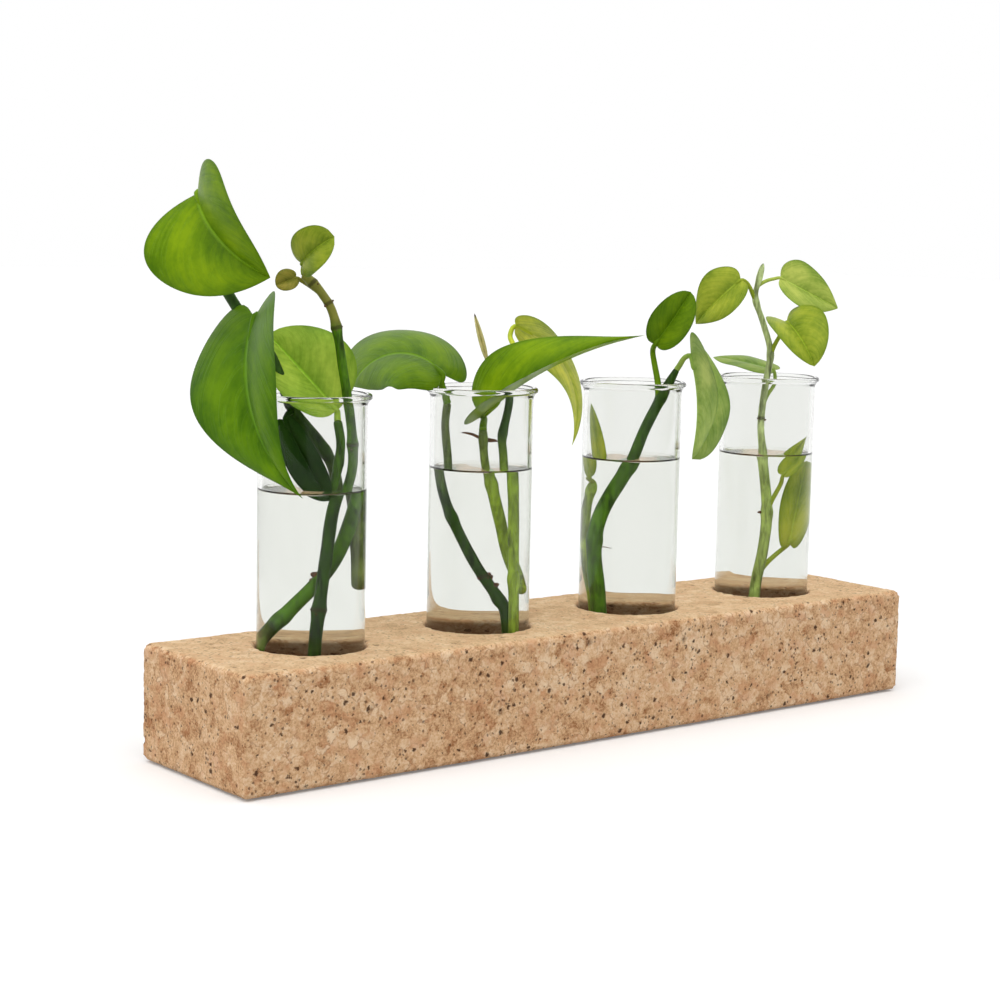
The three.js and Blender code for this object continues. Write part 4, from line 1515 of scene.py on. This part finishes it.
class PLANTER_OT_glass_tubes(bpy.types.Operator):
    """Make the glass tubes with flared lips"""

    bl_idname = "planter.glass_tubes"
    bl_label = "Glass tubes"

    def execute(self, context):
        glass = context.scene.planter_glass
        material = clear_material("clear_glass", glass)
        for number in TUBES:
            profile = tube_profile(number, glass)
            piece = clear_piece(number, f"tube_glass_{number}", profile, material)
            settle(piece, f"tube_{number}", "clear_glass", f"glass_tube_{number}")
        return {"FINISHED"}


class PLANTER_OT_water(bpy.types.Operator):
    """Make the water in the tubes, climbing a little where it meets the glass"""

    bl_idname = "planter.water"
    bl_label = "Water"

    def execute(self, context):
        glass, water = context.scene.planter_glass, context.scene.planter_water
        material = clear_material("still_water", water)
        for number in TUBES:
            profile = water_profile(number, glass, water)
            piece = clear_piece(number, f"tube_water_{number}", profile, material)
            settle(piece, f"tube_{number}", "water", f"water_{number}")
        return {"FINISHED"}


class PLANTER_OT_stems(bpy.types.Operator):
    """Make the stems of the cuttings"""

    bl_idname = "planter.stems"
    bl_label = "Stems"

    def execute(self, context):
        settings = context.scene.planter_stems
        tree = sweep_tree()
        tones = {stem.tones for stems in STEMS.values() for stem in stems.values()}
        materials = {}
        for foot, head in sorted(tones):
            colours = getattr(settings, foot)[:], getattr(settings, head)[:]
            materials[foot, head] = stem_material(f"{foot}_to_{head}_stem", *colours, settings)
        for number, stems in STEMS.items():
            for name, stem in stems.items():
                mesh = line_mesh(name, [stem_line(number, name, settings)])
                material = materials[stem.tones]
                values = {"Sides": settings.sides, "Finish": material}
                piece = run_tree(f"vine_{number}_{name}", mesh, tree, values, material)
                soften(piece.data, CRISP_EDGE)
                settle(piece, f"cutting_{number}", "stem", f"cutting_{number}_{name}")
        return {"FINISHED"}


class PLANTER_OT_roots(bpy.types.Operator):
    """Make the water roots and the root bumps at the scars"""

    bl_idname = "planter.roots"
    bl_label = "Roots and root bumps"

    def execute(self, context):
        settings = context.scene.planter_stems
        sweep, bumps = sweep_tree(), nub_tree()
        material = root_material(settings)
        for number in TUBES:
            mesh = line_mesh("root_lines", root_lines(number))
            values = {"Sides": settings.sides // 2, "Finish": material}
            roots = run_tree(f"vine_{number}_roots", mesh, sweep, values, material)
            soften(roots.data, CRISP_EDGE)
            settle(roots, f"cutting_{number}", "stem")
            if any(stem.scars for stem in STEMS[number].values()):
                mesh = nub_mesh(number, settings)
                values = {"Length": settings.nub_length, "Finish": material}
                nubs = run_tree(f"vine_{number}_root_bumps", mesh, bumps, values, material)
                soften(nubs.data, NUB_EDGE)
                settle(nubs, f"cutting_{number}", "stem")
        return {"FINISHED"}


class PLANTER_OT_leaves(bpy.types.Operator):
    """Make the leaves of the cuttings with their stalks"""

    bl_idname = "planter.leaves"
    bl_label = "Leaves"

    def execute(self, context):
        settings = context.scene.planter_leaves
        tones = {leaf.tone for leaves in LEAVES.values() for leaf in leaves.values()}
        materials = {}
        for tone in sorted(tones):
            upper = getattr(settings, tone)[:]
            tip = settings.withered[:] if tone == "pale" else upper
            materials[tone] = leaf_material(f"{tone}_leaf", upper, underside(upper), tip)
        slots = {row["node"]: row["material_slot"] for row in frame["record"]["subparts"]}
        for number, leaves in LEAVES.items():
            for name, leaf in leaves.items():
                node = f"cutting_{number}_{name}"
                mesh = leaf_mesh(number, name, settings)
                piece = link_mesh(f"vine_{number}_{name}", mesh, materials[leaf.tone])
                settle(piece, f"cutting_{number}", slots[node], node)
        return {"FINISHED"}


class PLANTER_OT_stage(bpy.types.Operator):
    """Make the floor, the light and the camera"""

    bl_idname = "planter.stage"
    bl_label = "Stage"

    def execute(self, context):
        settings = context.scene.planter_stage
        context.scene.view_settings.view_transform = "Standard"
        context.scene.cycles.max_bounces = settings.bounces
        context.scene.cycles.transmission_bounces = settings.bounces
        make_floor(settings)
        make_world(context.scene, settings)
        make_lamps(settings)
        make_camera(context.scene, settings)
        return {"FINISHED"}


# Stage

WHITE = (1, 1, 1)
SENSOR = 36
BACKDROP_EDGES = (-0.15, 0.6)
KEY_AIM = Vector((0.25, 0.2, -1))
SIDE_PLACE = Vector((-1.2, -0.5, 0.7))
SIDE_TARGET = Vector((0, 0, 0.08))


def seen_directly(nodes):
    """1 for rays that show the background: straight, mirrored or through glass."""
    path = nodes.node("ShaderNodeLightPath", None, None, "Is Camera Ray")
    shown = nodes.maths("MAXIMUM", path, path.other("Is Glossy Ray"))
    return nodes.maths("MAXIMUM", shown, path.other("Is Transmission Ray"))


def make_floor(settings):
    """A wide pale floor that shows white, and keeps the planter's soft shadow."""
    reach = settings.floor_reach
    mesh = bpy.data.meshes.new("floor")
    corners = [(-reach, -reach), (reach, -reach), (reach, reach), (-reach, reach)]
    mesh.from_pydata([(x, y, -settings.floor_drop) for x, y in corners], [], [(0, 1, 2, 3)])
    material, nodes, _ = new_material("pale_floor")
    shown = seen_directly(nodes)
    lit = nodes.mix(shown, settings.floor[:], settings.shown_floor[:])
    matt = nodes.node("ShaderNodeBsdfDiffuse", None, {"Color": lit})
    inputs = {"Color": WHITE, "Strength": shown * settings.floor_glow}
    glow = nodes.node("ShaderNodeEmission", None, inputs)
    both = nodes.node("ShaderNodeAddShader", None, {0: matt, 1: glow})
    nodes.node("ShaderNodeOutputMaterial", None, {"Surface": both})
    link_mesh("floor", mesh, material)


def make_world(scene, settings):
    """Even light from all round, behind which the background shows white."""
    world = bpy.data.worlds.new("white_room")
    world.use_nodes = True
    world.node_tree.nodes.clear()
    nodes = Nodes(world.node_tree)
    path = nodes.node("ShaderNodeLightPath", None, None, "Is Camera Ray")
    shown = nodes.maths("MAXIMUM", path, path.other("Is Transmission Ray"))
    aim = nodes.node("ShaderNodeTexCoord", None, None, "Generated")
    behind = nodes.vector("DOT_PRODUCT", {0: aim, 1: settings.backdrop[:]}, "Value")
    mirrored = settings.room + nodes.step(behind, *BACKDROP_EDGES) * (1 - settings.room)
    strength = settings.sky + path.other("Is Glossy Ray") * (mirrored - settings.sky)
    strength = nodes.maths("MAXIMUM", shown, strength)
    light = nodes.node("ShaderNodeBackground", None, {"Color": WHITE, "Strength": strength})
    nodes.node("ShaderNodeOutputWorld", None, {"Surface": light})
    scene.world = world


def add_lamp(name, kind, power, aim):
    """A lamp that shines along a direction."""
    lamp = bpy.data.lights.new(name, kind)
    lamp.energy = power
    obj = bpy.data.objects.new(name, lamp)
    obj.rotation_euler = aim.to_track_quat("-Z", "Y").to_euler()
    bpy.context.scene.collection.objects.link(obj)
    return obj


def make_lamps(settings):
    """A broad light from above and a softer one from the left."""
    overhead = add_lamp("overhead_light", "SUN", settings.key, KEY_AIM)
    overhead.data.angle = settings.key_spread
    left = add_lamp("left_lamp", "AREA", settings.side, SIDE_TARGET - SIDE_PLACE)
    left.data.size = settings.side_width
    left.location = SIDE_PLACE


def make_camera(scene, settings):
    """The camera at the side from which the planter is mostly seen."""
    camera = bpy.data.cameras.new("camera")
    camera.lens = settings.lens
    camera.sensor_width = SENSOR
    obj = bpy.data.objects.new("camera", camera)
    turn, tilt = settings.azimuth, settings.elevation
    flat = math.cos(tilt)
    back = Vector((math.sin(turn) * flat, -math.cos(turn) * flat, math.sin(tilt)))
    right = Vector((math.cos(turn), math.sin(turn), 0))
    up = back.cross(right)
    right, up = (right * math.cos(settings.roll) + up * math.sin(settings.roll),
                 up * math.cos(settings.roll) - right * math.sin(settings.roll))
    place = Vector((settings.target_x, 0, settings.target_z)) + back * settings.distance
    axes = Matrix((right, up, back)).transposed().to_4x4()
    obj.matrix_world = Matrix.Translation(place) @ axes
    scene.collection.objects.link(obj)
    scene.camera = obj


# Add-on

OPERATORS = (
    PLANTER_OT_cork_block,
    PLANTER_OT_glass_tubes,
    PLANTER_OT_water,
    PLANTER_OT_stems,
    PLANTER_OT_roots,
    PLANTER_OT_leaves,
    PLANTER_OT_stage,
)
SETTINGS = {
    "planter_cork": CorkSettings,
    "planter_glass": GlassSettings,
    "planter_water": WaterSettings,
    "planter_stems": StemSettings,
    "planter_leaves": LeafSettings,
    "planter_stage": StageSettings,
}


class PLANTER_PT_panel(bpy.types.Panel):
    """Lists the planter's pieces in the sidebar"""

    bl_label = "Planter"
    bl_idname = "PLANTER_PT_panel"
    bl_space_type = "VIEW_3D"
    bl_region_type = "UI"
    bl_category = "Planter"

    def draw(self, context):
        for operator in OPERATORS:
            self.layout.operator(operator.bl_idname)


def register():
    for group in SETTINGS.values():
        bpy.utils.register_class(group)
    for name, group in SETTINGS.items():
        setattr(bpy.types.Scene, name, bpy.props.PointerProperty(type=group))
    for part in (*OPERATORS, PLANTER_PT_panel):
        bpy.utils.register_class(part)


def unregister():
    for part in reversed((*OPERATORS, PLANTER_PT_panel)):
        bpy.utils.unregister_class(part)
    for name in SETTINGS:
        delattr(bpy.types.Scene, name)
    for group in SETTINGS.values():
        bpy.utils.unregister_class(group)


def main():
    register()
    bpy.ops.planter.cork_block()
    bpy.ops.planter.glass_tubes()
    bpy.ops.planter.water()
    bpy.ops.planter.stems()
    bpy.ops.planter.roots()
    bpy.ops.planter.leaves()
    bpy.ops.planter.stage()


if __name__ == "__main__":
    main()
